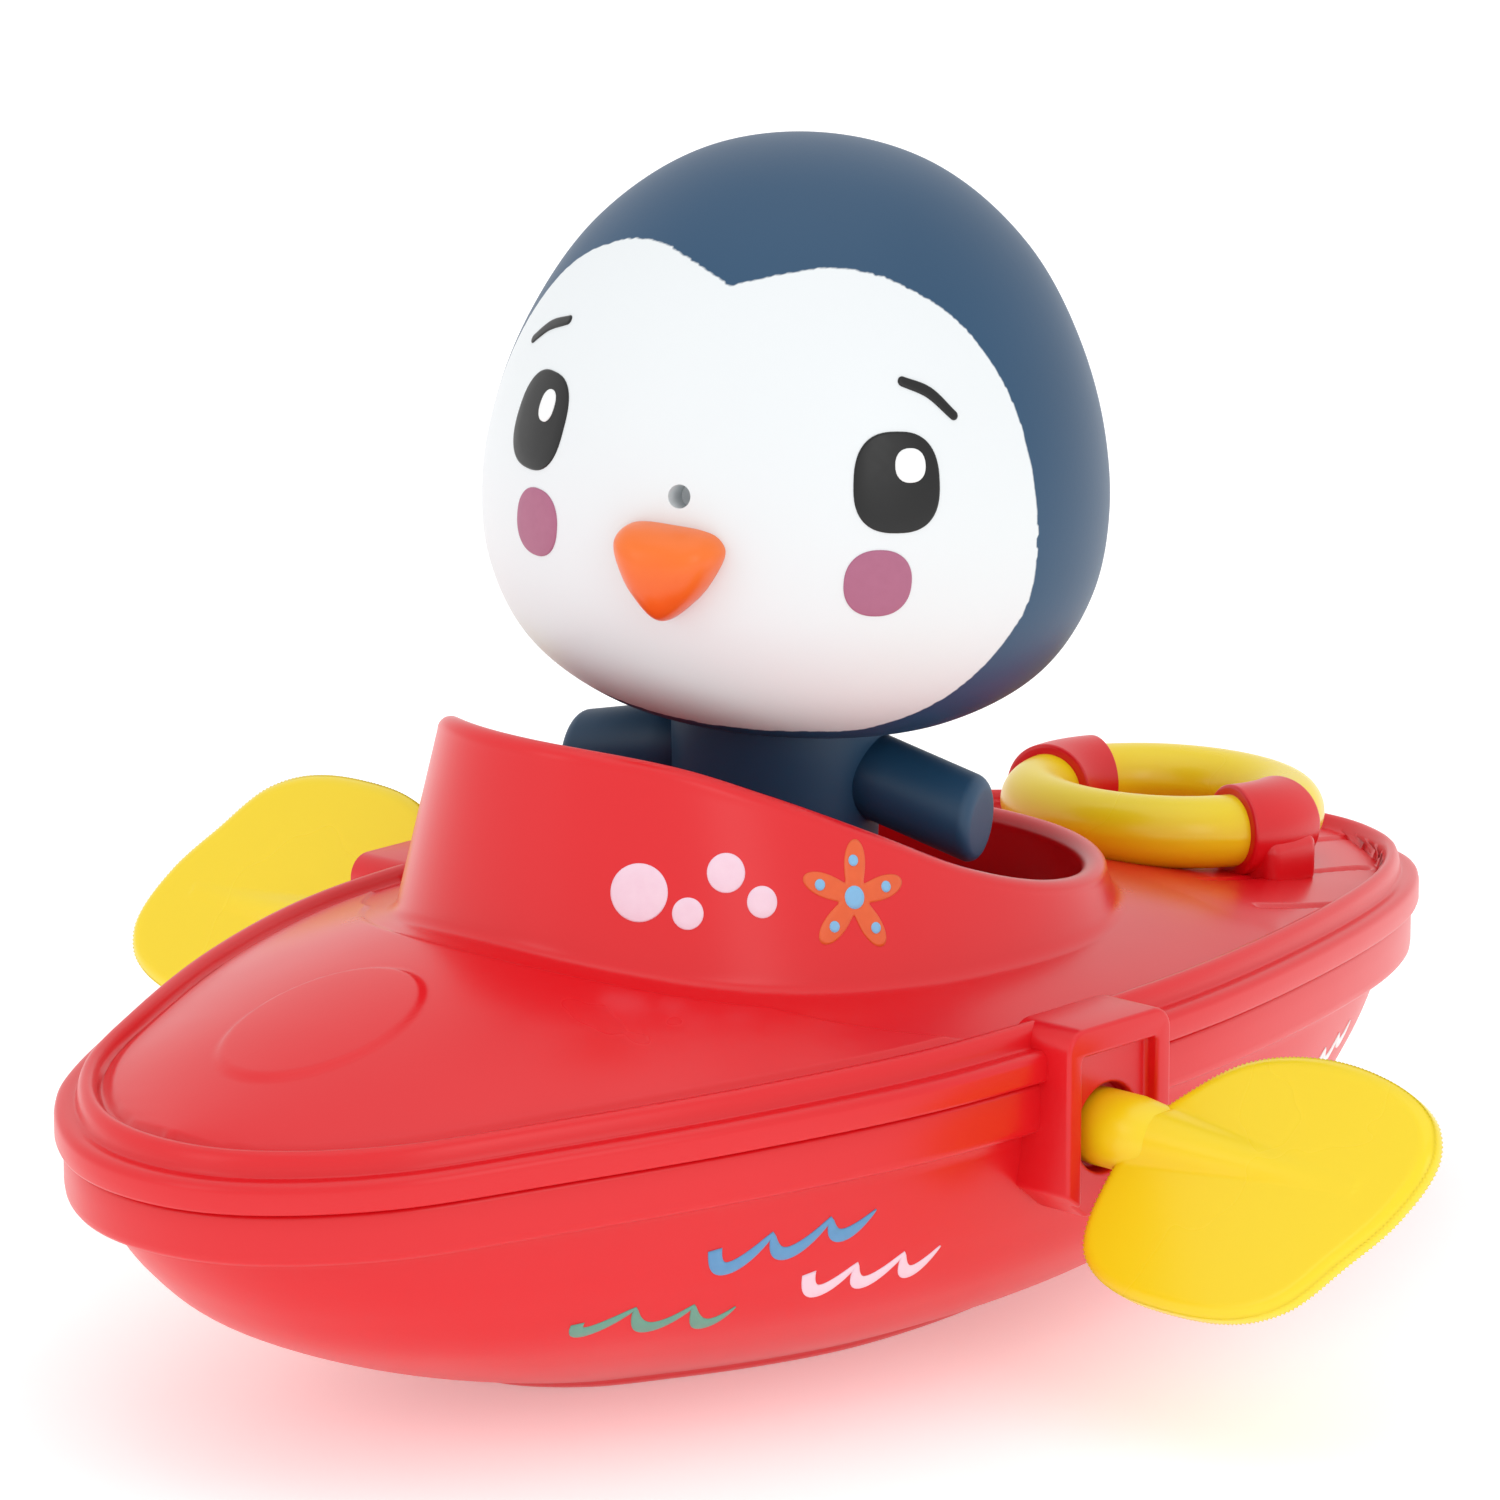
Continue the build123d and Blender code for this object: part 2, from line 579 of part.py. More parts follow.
# ---- penguin: hollow one-piece vinyl figure with a moulded beak ----
def figure_form(shrink=0.0):
    """Head and body turned about one axis; shrink draws the inside."""
    middle = (HEAD_PROFILE[0][1] + HEAD_PROFILE[-1][1]) / 2
    share = 1 - shrink / max(r for r, z in HEAD_PROFILE)
    points = [(r * share, middle + (z - middle) * share) for r, z in HEAD_PROFILE]
    curve = Spline(*points, tangents=[(1, 0), (-1, -0.05)])
    close = Polyline(points[-1], (0, points[-1][1]), points[0])
    head = revolve(Plane.XZ * make_face([curve.edge()] + close.edges()), Axis.Z)
    neck = middle - 20
    body = Polyline((0, shrink), (BODY_FOOT_R - shrink, shrink), (BODY_R - shrink, BODY_TAPER_H),
                    (BODY_R - shrink, neck), (0, neck), close=True)
    return head + revolve(Plane.XZ * make_face(body.edges()), Axis.Z)


def make_arm(side):
    length = ARM_REACH - ARM_ROOT
    arm = fillet(Cylinder(ARM_R, length).edges(), ARM_ROUND)
    slope = math.degrees(math.atan2(ARM_DROP, length))
    arm = Pos(0, ARM_ROOT + length / 2, ARM_Z) * Rot(-90 - slope, 0, 0) * arm
    return to_side(arm, side)


def make_beak():
    """Rounded beak, turned about its own forward axis."""
    seat = HEAD_PROFILE[5][0] - BEAK_SINK
    profile = Spline((0, BEAK_R), (0.55 * BEAK_OUT, 0.72 * BEAK_R), (BEAK_OUT, 0),
                     tangents=[(1, 0), (0, -1)])
    close = Polyline((BEAK_OUT, 0), (0, 0), (0, BEAK_R))
    beak = revolve(make_face([profile.edge()] + close.edges()), Axis.X)
    return Pos(seat, 0, BEAK_Z) * beak


def make_figure():
    figure = figure_form() + make_arm(1) + make_arm(-1) + make_beak()
    figure -= figure_form(FIGURE_WALL)
    reach = HEAD_PROFILE[5][0] + 4
    figure -= Pos(BODY_R, 0, SQUIRT_Z) * Rot(0, 90, 0) * Cylinder(SQUIRT_D / 2, reach,
                                                               align=(Align.CENTER, Align.CENTER, Align.MIN))
    seat_z = FLOOR_Z + FIGURE_BASE_GAP + lean_lift()
    return Pos(FIGURE_X, FIGURE_Y, seat_z) * Rot(0, 0, FIGURE_HEADING) * Rot(-FIGURE_LEAN, 0, 0) * figure


def lean_lift():
    return BODY_FOOT_R * math.sin(math.radians(FIGURE_LEAN))


parts["hull_shell"] = make_hull()
parts["hull_gasket"] = make_gasket()
parts["deck_shell"] = make_deck()
parts["cockpit_tub"] = make_tub()
for name, side in SIDES.items():
    parts[f"axle_bracket_{name}"] = to_side(make_bracket(), side)
    parts[f"axle_bush_{name}"] = to_side(make_bush(), side)
    parts[f"axle_seal_{name}"] = to_side(make_seal(), side)
    parts[f"ring_strap_{name}"] = to_side(make_strap(), side)
parts["paddle_axle"] = rod(AXLE_D / 2, -BLADE_ROOT - 6, BLADE_ROOT + 6, AXLE_X, AXLE_Z)
parts["paddle_port"] = placed_paddle(1, PORT_PHASE)
parts["paddle_starboard"] = placed_paddle(-1, STARBOARD_PHASE)
parts["output_pinion"] = make_output_pinion()
parts["intermediate_gear"] = make_stage_gear()
parts["intermediate_shaft"] = rod(SHAFT_D / 2, CASE_STARBOARD, CASE_PORT, STAGE_X, STAGE_Z)
parts["spring_drum"] = make_drum()
parts["spring_arbor"] = rod(ARBOR_D / 2, CASE_STARBOARD, CASE_PORT, DRUM_X, DRUM_Z)
parts["mainspring"] = make_mainspring()
parts["motor_case"] = make_case()
parts["motor_cover"] = make_cover()
parts["motor_screws"] = make_case_screws()
parts["hull_screws"] = make_hull_screws()
parts["life_ring"] = place_ring(Torus(RING_R, RING_TUBE))
parts["penguin_figure"] = make_figure()

os.makedirs("parts", exist_ok=True)
for name, shape in parts.items():
    export_step(shape, f"parts/{name}.step")
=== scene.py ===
import bmesh
import bpy
import math
import numpy as np
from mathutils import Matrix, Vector
from mathutils.bvhtree import BVHTree


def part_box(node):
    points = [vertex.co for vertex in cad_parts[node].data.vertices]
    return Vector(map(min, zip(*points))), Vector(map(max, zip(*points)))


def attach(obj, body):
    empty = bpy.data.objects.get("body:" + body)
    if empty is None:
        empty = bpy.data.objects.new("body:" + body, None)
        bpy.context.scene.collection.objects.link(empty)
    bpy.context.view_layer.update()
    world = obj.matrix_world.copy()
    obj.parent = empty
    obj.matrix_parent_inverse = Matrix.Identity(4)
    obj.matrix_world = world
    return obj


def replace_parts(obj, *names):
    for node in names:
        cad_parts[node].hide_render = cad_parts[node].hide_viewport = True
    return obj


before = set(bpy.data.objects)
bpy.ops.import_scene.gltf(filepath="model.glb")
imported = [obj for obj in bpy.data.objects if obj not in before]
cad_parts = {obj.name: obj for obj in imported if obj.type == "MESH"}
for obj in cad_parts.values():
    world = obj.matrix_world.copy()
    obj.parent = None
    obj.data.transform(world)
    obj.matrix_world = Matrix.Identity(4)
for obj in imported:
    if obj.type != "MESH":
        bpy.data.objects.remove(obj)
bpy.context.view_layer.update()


# ---- Hull: the lower half of the boat ----
# A thin open shell injection moulded in glossy red ABS. A deep flange runs round under the joint and the
# rounded body below it is drawn in; the deck plugs into the flange and long screws pull the two together.
MM = 0.001
SEAM = 37.0                                   # joint height amidships
HULL_LO, HULL_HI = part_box("hull_shell")
DECK_LO, DECK_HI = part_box("deck_shell")
HALF_LENGTH = (DECK_HI.x - DECK_LO.x) / 2 / MM
HALF_BEAM = 52.0
BOW_DROP, STERN_DROP = 4.9, 6.5               # fall of the joint line towards the ends
AROUND = 1080                                 # points round each loop of the long shells

# half outline from bow to stern, as shares of the half length and half beam
OUTLINE = [(1.0, 0.0), (0.97, 0.25), (0.87, 0.487), (0.72, 0.655), (0.51, 0.84), (0.29, 0.965), (0.06, 1.0),
           (-0.15, 0.972), (-0.36, 0.88), (-0.59, 0.724), (-0.78, 0.54), (-0.92, 0.33), (-0.982, 0.15),
           (-1.0, 0.0)]


def through(points):
    """Smooth curve through a table of (position, value), as a function."""
    table = np.array(sorted(map(tuple, points)), float)
    at, value = table[:, 0], table[:, 1]
    slope = np.gradient(value, at)

    def curve(x):
        x = np.clip(np.asarray(x, float), at[0], at[-1])
        k = np.clip(np.searchsorted(at, x, side="right") - 1, 0, len(at) - 2)
        width = at[k + 1] - at[k]
        u = (x - at[k]) / width
        start = (1 + 2 * u) * (1 - u) ** 2 * value[k] + u * (1 - u) ** 2 * width * slope[k]
        end = u * u * (3 - 2 * u) * value[k + 1] + u * u * (u - 1) * width * slope[k + 1]
        return start + end
    return curve


def closed_loop(half, count):
    """Closed curve through a half outline and its mirror image, as evenly spaced points from the bow."""
    half = np.array(half, float)
    points = np.vstack([half, half[-2:0:-1] * (1, -1)])
    ahead = np.roll(points, -1, axis=0)
    behind = np.roll(points, 1, axis=0)
    reach = np.linalg.norm(ahead - points, axis=1)
    before = np.roll(reach, 1)
    slope = (ahead - behind) / (reach + before)[:, None]
    u = np.linspace(0, 1, 60, endpoint=False)[:, None]
    dense = []
    for k in range(len(points)):
        j = (k + 1) % len(points)
        dense.append((1 + 2 * u) * (1 - u) ** 2 * points[k] + u * (1 - u) ** 2 * reach[k] * slope[k]
                     + u * u * (3 - 2 * u) * points[j] + u * u * (u - 1) * reach[k] * slope[j])
    dense = np.vstack(dense + [points[:1]])
    along = np.concatenate([[0], np.cumsum(np.linalg.norm(np.diff(dense, axis=0), axis=1))])
    even = np.linspace(0, along[-1], count, endpoint=False)
    return np.stack([np.interp(even, along, dense[:, i]) for i in (0, 1)], axis=1)


RIM_LOOP = closed_loop(OUTLINE, AROUND)


def outline(inset):
    """Plan of the boat's edge, drawn in by an inset."""
    return RIM_LOOP * (HALF_LENGTH - inset, HALF_BEAM - inset)


def sheer(x):
    u = x / HALF_LENGTH
    return -np.where(u > 0, BOW_DROP, STERN_DROP) * u * u


def at_joint(inset, height):
    """Loop of the edge at a height above the curved joint line."""
    plan = outline(inset)
    return np.column_stack([plan, SEAM + height + sheer(plan[:, 0])])


def make_piece(name, points, faces, material=None, smooth=True):
    """Mesh object from points in millimetres."""
    mesh = bpy.data.meshes.new(name)
    mesh.from_pydata((np.asarray(points, float) * MM).tolist(), [], faces)
    mesh.update()
    if smooth:
        mesh.shade_smooth()
    work = bmesh.new()
    work.from_mesh(mesh)
    bmesh.ops.recalc_face_normals(work, faces=work.faces)
    work.to_mesh(mesh)
    work.free()
    piece = bpy.data.objects.new(name, mesh)
    bpy.context.scene.collection.objects.link(piece)
    if material:
        mesh.materials.append(material)
    return piece


def loop_faces(rows, count, closed_rows=False):
    """Quads between loops of equal count; closed_rows joins the last loop to the first."""
    faces = []
    for r in range(rows if closed_rows else rows - 1):
        a, b = r * count, ((r + 1) % rows) * count
        for i in range(count):
            j = (i + 1) % count
            faces.append((a + i, a + j, b + j, b + i))
    return faces


def shell_of(name, loops, material, closed_rows=False, caps=()):
    """Skin over a stack of loops; caps names loops that are closed by one flat face."""
    count = len(loops[0])
    faces = loop_faces(len(loops), count, closed_rows)
    for row in caps:
        ring = tuple(range(row % len(loops) * count, row % len(loops) * count + count))
        faces.append(ring if row else ring[::-1])
    return make_piece(name, np.vstack(loops), faces, material)


def linear(value):
    return value / 12.92 if value <= 0.04045 else ((value + 0.055) / 1.055) ** 2.4


def colour(code):
    """Linear colour of an sRGB hex value."""
    return tuple(linear(int(code[i:i + 2], 16) / 255) for i in (1, 3, 5)) + (1.0,)


def add(tree, kind, settings=None, links=None):
    """Adds a node, sets its properties and sockets, and links sockets of other nodes into it."""
    node = tree.nodes.new(kind)
    for key, value in (settings or {}).items():
        if isinstance(key, int) or key in node.inputs:
            node.inputs[key].default_value = value
        else:
            setattr(node, key, value)
    for key, source in (links or {}).items():
        tree.links.new(source, node.inputs[key])
    return node


def start_material(name):
    material = bpy.data.materials.new(name)
    material.use_nodes = True
    tree = material.node_tree
    return material, tree, tree.nodes["Principled BSDF"], add(tree, "ShaderNodeTexCoord").outputs["Object"]


def moulded_plastic(name, light, deep, roughness, mould_grain, grain_height, subsurface=0.0):
    """Injection-moulded plastic: near-even colour, a fine mould texture that breaks the highlights up softly,
    and broad cloudy changes of gloss where the melt cooled."""
    material, tree, skin, place = start_material(name)
    cloud = add(tree, "ShaderNodeTexNoise", {"Scale": 1 / (38 * MM), "Detail": 3.0}, {"Vector": place})
    tint = add(tree, "ShaderNodeMix", {"data_type": "RGBA", 6: colour(light), 7: colour(deep)},
               {0: cloud.outputs["Fac"]})
    tree.links.new(tint.outputs[2], skin.inputs["Base Color"])
    gloss = add(tree, "ShaderNodeMapRange", {"From Min": 0.3, "From Max": 0.7, "To Min": roughness - 0.03,
                                             "To Max": roughness + 0.04}, {"Value": cloud.outputs["Fac"]})
    tree.links.new(gloss.outputs["Result"], skin.inputs["Roughness"])
    grain = add(tree, "ShaderNodeTexNoise", {"Scale": 1 / (mould_grain * MM), "Detail": 2.0}, {"Vector": place})
    bump = add(tree, "ShaderNodeBump", {"Strength": 0.25, "Distance": grain_height * MM},
               {"Height": grain.outputs["Fac"]})
    tree.links.new(bump.outputs["Normal"], skin.inputs["Normal"])
    skin.inputs["IOR"].default_value = 1.52
    skin.inputs["Subsurface Weight"].default_value = subsurface
    skin.inputs["Subsurface Radius"].default_value = (2.0, 0.6, 0.4)
    skin.inputs["Subsurface Scale"].default_value = 0.8 * MM
    return material


red_abs = moulded_plastic("red_abs_moulded", "#E0101B", "#D90B17", 0.30, 0.5, 0.02)

FLANGE_DEPTH = 5.9
FLANGE_INSET = 1.0
BODY_INSET = 3.3
# share of the full plan at each height: bow, stern and width
BOW_SHARE = through([(0, 0.46), (3, 0.58), (6, 0.68), (12, 0.83), (19, 0.925), (28, 0.985), (34, 1.0)])
STERN_SHARE = through([(0, 0.56), (3, 0.66), (6, 0.745), (12, 0.86), (19, 0.93), (28, 0.985), (34, 1.0)])
WIDTH_SHARE = through([(0, 0.42), (3, 0.565), (6, 0.70), (12, 0.86), (19, 0.945), (28, 0.99), (34, 1.0)])
BILGE_RADIUS = 1.6


def body_at(z):
    """Loop of the hull body with its own height at each point."""
    plan = outline(BODY_INSET)
    long_share = np.where(plan[:, 0] > 0, BOW_SHARE(z), STERN_SHARE(z))
    return np.column_stack([plan[:, 0] * long_share, plan[:, 1] * WIDTH_SHARE(z), z])


hull_loops = [at_joint(i, h) for i, h in ((4.4, -2.0), (4.2, -0.15), (1.5, -0.12), (1.15, -0.25), (1.0, -0.7),
                                          (1.0, -2.5), (1.0, -4.6), (1.1, -5.3), (1.45, -5.75), (2.0, -5.9),
                                          (2.7, -5.95), (3.1, -6.1))]
under_flange = SEAM + sheer(outline(BODY_INSET)[:, 0]) - FLANGE_DEPTH - 0.5
for step in np.linspace(0, 1, 34) ** 0.85:
    hull_loops.append(body_at(under_flange * (1 - step) + BILGE_RADIUS * step))
keel = body_at(np.full(AROUND, BILGE_RADIUS))
for turn in np.linspace(0.15, 1, 7) * math.pi / 2:
    loop = keel.copy()
    loop[:, :2] *= 1 - 0.085 * (1 - math.cos(turn)) - 0.03 * math.sin(turn)
    loop[:, 2] = BILGE_RADIUS * (1 - math.sin(turn))
    hull_loops.append(loop)
for share in (0.7, 0.4, 0.12):
    loop = hull_loops[-1].copy() if share == 0.7 else foot.copy()
    foot = hull_loops[-1].copy() if share == 0.7 else foot
    loop[:, :2] = foot[:, :2] * share
    hull_loops.append(loop)
hull = shell_of("hull_moulding", hull_loops[::-1], red_abs, caps=(0,))
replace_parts(hull, "hull_shell")
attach(hull, "boat")


# ---- Deck: the upper half of the boat, with the coaming round the cockpit ----
# One more red ABS moulding: a rounded edge with a bead inside it, a crowned foredeck with a slightly raised
# panel and a bare oval pad, the swept coaming wall, and a low planked deck aft where the life ring lies.
WELL_FLOOR = 1.8                              # height of the cockpit floor above the joint
CROWN = through([(-100, -2.2), (-92, -1.0), (-75, 0.6), (-64, 1.9), (-56, 3.1), (-46, 5.2), (-38, 7.0),
                 (-10, 9.8), (20, 12.2), (50, 12.9), (73, 8.6), (88, 3.6), (96, 0.6)])
EDGE_HEIGHT = 4.4                             # deck height where it meets the bead
EDGE_INSET = 5.3
COAMING_MIDDLE = 4.0
COAMING_WALL = 3.0
RIM = through([(-50, 11.2), (-36, 11.5), (-20, 12.4), (-8, 14.6), (4, 18.4), (16, 24.0), (28, 29.6),
               (36, 33.0), (42, 34.6), (52, 35.6)])
PLANK_PITCH = 12.0
PLANK_DEPTH = 0.55
RAISED = 0.4                                  # the foredeck panel and the oval pad stand this far up

edge_plan = closed_loop([(x * (HALF_LENGTH - EDGE_INSET), y * (HALF_BEAM - EDGE_INSET)) for x, y in OUTLINE],
                        AROUND)
port_edge = edge_plan[:AROUND // 2 + 1]
edge_width = through(port_edge[::12])


def soft_step(value, width):
    """0 below zero, 1 above the width, smooth between."""
    u = np.clip(value / width, 0, 1)
    return u * u * (3 - 2 * u)


def egg(height):
    """Coaming outline at a height above the joint, with its own height at each point."""
    share = (np.asarray(height, float) - 5) / 32
    front = 49 - 6.0 * share
    aft = -41 + 11 * share
    half = 35.5 - 9 * share
    turn = EGG_TURN
    end = np.where(np.cos(turn) > 0, front, aft)
    x = COAMING_MIDDLE + np.abs(end - COAMING_MIDDLE) * np.sign(np.cos(turn)) * np.abs(np.cos(turn)) ** 0.92
    y = half * np.sign(np.sin(turn)) * np.abs(np.sin(turn)) ** 0.92
    return np.column_stack([x, y])


EGG_TURN = np.linspace(0, 2 * math.pi, AROUND, endpoint=False)
for _ in range(3):                            # even out the spacing of the points along the egg
    plan = egg(np.full(AROUND, 9.0))
    path = np.vstack([plan, plan[:1]])
    along = np.concatenate([[0], np.cumsum(np.linalg.norm(np.diff(path, axis=0), axis=1))])
    EGG_TURN = np.interp(np.linspace(0, along[-1], AROUND, endpoint=False), along,
                         np.append(EGG_TURN, 2 * math.pi))


def drawn_in(plan, inset):
    """Plan moved towards its inside by a distance along its own normals."""
    run = np.roll(plan, -1, axis=0) - np.roll(plan, 1, axis=0)
    run /= np.linalg.norm(run, axis=1)[:, None]
    return plan + np.column_stack([-run[:, 1], run[:, 0]]) * inset


def clear_of_coaming(x, y):
    """Rough distance outside the coaming's foot."""
    end = np.where(x > COAMING_MIDDLE, 42.5, 45.5)
    return (np.hypot((x - COAMING_MIDDLE) / end, y / 35.5) - 1) * 38


def deck_height(x, y):
    """Deck surface above the joint amidships: crown, raised panel, oval pad, step and plank grooves."""
    edge = sheer(x) + EDGE_HEIGHT
    across = np.clip(np.abs(y) / np.maximum(edge_width(x), 1.0), 0, 1)
    crown = np.maximum(CROWN(x), edge - 0.8)
    plank_deck = soft_step(-x - 45 + 0.16 * np.abs(y), 9)
    power = 2 + 3 * plank_deck
    z = edge - 1.2 * plank_deck * (across < 1) + (crown - edge + 1.2 * plank_deck) * (1 - across ** power)
    from_bead = (1 - across) * edge_width(x)
    panel = soft_step(clear_of_coaming(x, y) - 4.2, 0.9) * soft_step(x - 37.5 + 0.03 * (np.abs(y) - 20) ** 2
                                                                    * (np.abs(y) > 20), 0.9)
    z = z + RAISED * panel * soft_step(from_bead - 1.2, 0.9)
    pad = 1 - np.hypot((x - 72.0) / 12.6, y / 9.9)
    z = z + 1.1 * RAISED * soft_step(pad * 10, 0.8)
    for k in range(-2, 3):
        groove = np.clip(1 - ((y - (k + 0.5) * PLANK_PITCH) / 0.75) ** 2, 0, 1)
        z = z - PLANK_DEPTH * groove * soft_step(-x - 53 + 0.35 * np.abs(y) - 4, 2) * soft_step(from_bead - 1, 1)
    return z


def settle(height_of, start):
    """Coaming loop whose height agrees with a height that depends on its place."""
    height = np.full(AROUND, float(start))
    for _ in range(12):
        plan = egg(height)
        height = height_of(plan[:, 0], plan[:, 1])
    return height


def rim_height(x, y):
    """Sweep of the coaming's rim, with a low hump on the starboard side."""
    return RIM(x) + 3.6 * np.exp(-((x + 1) / 10) ** 2) * soft_step(-y - 12, 14)


base_height = settle(deck_height, 9)
top_height = settle(rim_height, 20)
base_plan = egg(base_height)
deck_loops = [at_joint(i, h) for i, h in ((4.4, 0.9), (4.3, 0.12), (0.5, 0.1), (0.15, 0.25), (0.0, 0.6), (0.0, 1.6),
                                          (0.0, 2.5), (0.12, 3.0), (0.45, 3.35), (0.95, 3.5), (1.6, 3.5),
                                          (2.1, 3.45), (2.35, 3.5), (2.5, 3.75), (2.6, 4.3), (2.75, 5.0),
                                          (3.05, 5.6), (3.5, 5.95), (4.0, 5.95), (4.45, 5.6), (4.75, 5.0),
                                          (4.95, 4.65))]
FILLET = 1.1
outer_foot = drawn_in(base_plan, -FILLET)
edge_loop = np.column_stack([edge_plan, np.zeros(AROUND)])
for share in np.linspace(0, 1, 96):
    plan = edge_plan * (1 - share) + outer_foot * share
    deck_loops.append(np.column_stack([plan, SEAM + deck_height(plan[:, 0], plan[:, 1])]))
wall_start = base_height + FILLET
wall_plan = egg(wall_start)
corner = np.column_stack([base_plan, SEAM + base_height])
start, end = deck_loops[-1], np.column_stack([wall_plan, SEAM + wall_start])
for u in (0.2, 0.4, 0.6, 0.8, 1.0):
    deck_loops.append((1 - u) ** 2 * start + 2 * u * (1 - u) * corner + u * u * end)
LIP = COAMING_WALL / 2
wall_end = top_height - LIP
for u in np.linspace(0, 1, 30)[1:]:
    height = wall_start * (1 - u) + wall_end * u
    deck_loops.append(np.column_stack([egg(height), SEAM + height]))
for turn in np.linspace(0, math.pi, 13)[1:]:
    height = wall_end + LIP * math.sin(turn)
    plan = drawn_in(egg(wall_end), LIP * (1 - math.cos(turn)))
    deck_loops.append(np.column_stack([plan, SEAM + height]))
for u in np.linspace(0, 1, 16)[1:]:
    height = wall_end * (1 - u) + WELL_FLOOR * u
    deck_loops.append(np.column_stack([drawn_in(egg(height), COAMING_WALL), SEAM + height]))
floor_loop = deck_loops[-1]
for inset, drop in ((0.5, 0.5), (1.2, 0.75), (6.0, 0.8)):
    plan = drawn_in(floor_loop[:, :2], inset)
    deck_loops.append(np.column_stack([plan, np.full(AROUND, SEAM + WELL_FLOOR - drop)]))
deck_loops.append(np.column_stack([deck_loops[-1][:, :2] * 0.05, np.full(AROUND, SEAM + WELL_FLOOR - 0.8)]))
deck = shell_of("deck_moulding", deck_loops, red_abs, caps=(-1,))
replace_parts(deck, "deck_shell", "cockpit_tub")
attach(deck, "boat")


# ---- Axle brackets: small housings that carry the paddle hubs at the joint ----
# Red ABS blocks clipped over the flange: a rounded cap, two upright cheeks with a sunk face between them, a
# round hole for the hub and a wedge that dies into the hull side below.
AXLE_LO, AXLE_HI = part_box("paddle_axle")
AXLE_X = (AXLE_LO.x + AXLE_HI.x) / 2 / MM
AXLE_Z = (AXLE_LO.z + AXLE_HI.z) / 2 / MM
HUB_R = 4.3


def bevelled_box(name, low, high, width, material, segments=4):
    """Block with rounded edges between two corners in millimetres."""
    corners = [(x, y, z) for x in (low[0], high[0]) for y in (low[1], high[1]) for z in (low[2], high[2])]
    faces = [(0, 1, 3, 2), (4, 6, 7, 5), (0, 4, 5, 1), (2, 3, 7, 6), (0, 2, 6, 4), (1, 5, 7, 3)]
    block = make_piece(name, corners, faces, material, smooth=False)
    soften(block, width, segments)
    return block


def soften(piece, width, segments=4, angle=30):
    """Rounds the edges of a piece and smooths its shading."""
    bevel = piece.modifiers.new("rounding", "BEVEL")
    bevel.width = width * MM
    bevel.segments = segments
    bevel.angle_limit = math.radians(angle)
    bevel.limit_method = "ANGLE"
    settle_modifiers(piece)
    piece.data.shade_smooth()


def settle_modifiers(piece):
    """Turns a piece's modifiers into its mesh."""
    view = bpy.context.evaluated_depsgraph_get()
    mesh = bpy.data.meshes.new_from_object(piece.evaluated_get(view))
    piece.modifiers.clear()
    piece.data = mesh


def turned_tube(name, radius, start, end, x, z, count=64, material=None):
    """Closed cylinder across the boat, used as a cutter or a core."""
    a = np.linspace(0, 2 * math.pi, count, endpoint=False)
    rings = [np.column_stack([x + radius * np.cos(a), np.full(count, y), z + radius * np.sin(a)])
             for y in (start, end)]
    return shell_of(name, rings, material, caps=(0, -1))


def cut(piece, cutter):
    """Takes one closed mesh out of another."""
    job = piece.modifiers.new("cut", "BOOLEAN")
    job.operation = "DIFFERENCE"
    job.object = cutter
    job.solver = "EXACT"
    settle_modifiers(piece)
    bpy.data.objects.remove(cutter)


def bracket_outline():
    """Side view of a bracket: rounded cap and a wedge that narrows at its foot."""
    low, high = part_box("axle_bracket_port")
    left, right = low.x / MM, high.x / MM
    bottom, top = low.z / MM, high.z / MM
    r = 2.6
    points = []
    for cx, cz, first in ((right - r, top - r, 0), (left + r, top - r, 90)):
        for turn in np.linspace(first, first + 90, 9):
            points.append((cx + r * math.cos(math.radians(turn)), cz + r * math.sin(math.radians(turn))))
    points += [(left, bottom + 2.4), (left + 1.2, bottom), (right - 5.0, bottom), (right, bottom + 3.6)]
    return points


def make_bracket(side, name):
    low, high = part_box("axle_bracket_port")
    back, face = low.y / MM, high.y / MM
    outline_xz = bracket_outline()
    count = len(outline_xz)
    points = [(x, side * y, z) for y in (back, face) for x, z in outline_xz]
    faces = [tuple(range(count)), tuple(range(2 * count - 1, count - 1, -1))]
    for i in range(count):
        j = (i + 1) % count
        faces.append((i, i + count, j + count, j))
    if side < 0:
        faces = [f[::-1] for f in faces]
    block = make_piece(name, points, faces, red_abs, smooth=False)
    sink = 1.7
    left, right = low.x / MM + 2.3, high.x / MM - 2.3
    near, far = sorted((side * (face - sink), side * (face + 2)))
    cut(block, bevelled_box("sunk_face", (left, near, low.z / MM - 3), (right, far, high.z / MM - 3.2), 0.5, None, 3))
    cut(block, turned_tube("hub_hole", HUB_R + 0.7, *sorted((side * (face - 4.2), side * (face + 2))), AXLE_X, AXLE_Z))
    soften(block, 0.55, 4, 35)
    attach(block, "boat")
    return block


for name, side in (("port", 1), ("starboard", -1)):
    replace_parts(make_bracket(side, f"bracket_{name}"), f"axle_bracket_{name}")


# ---- Paddles: one on each end of the axle ----
# Yellow ABS mouldings pressed on the axle: a round hub runs out along a flat blade as a ridge that tapers away,
# and the blade's edge is rounded all the way round.
yellow_abs = moulded_plastic("yellow_abs_moulded", "#F6DA16", "#F1D20E", 0.27, 0.6, 0.02)

PORT_TURN = 124.8                             # direction of the blade's upper edge, from the bow upwards
STARBOARD_TURN = 304.8
BLADE_T = 3.2
BLADE_ROOT, BLADE_TIP, RIDGE_END = 56.2, 96.4, 86.0
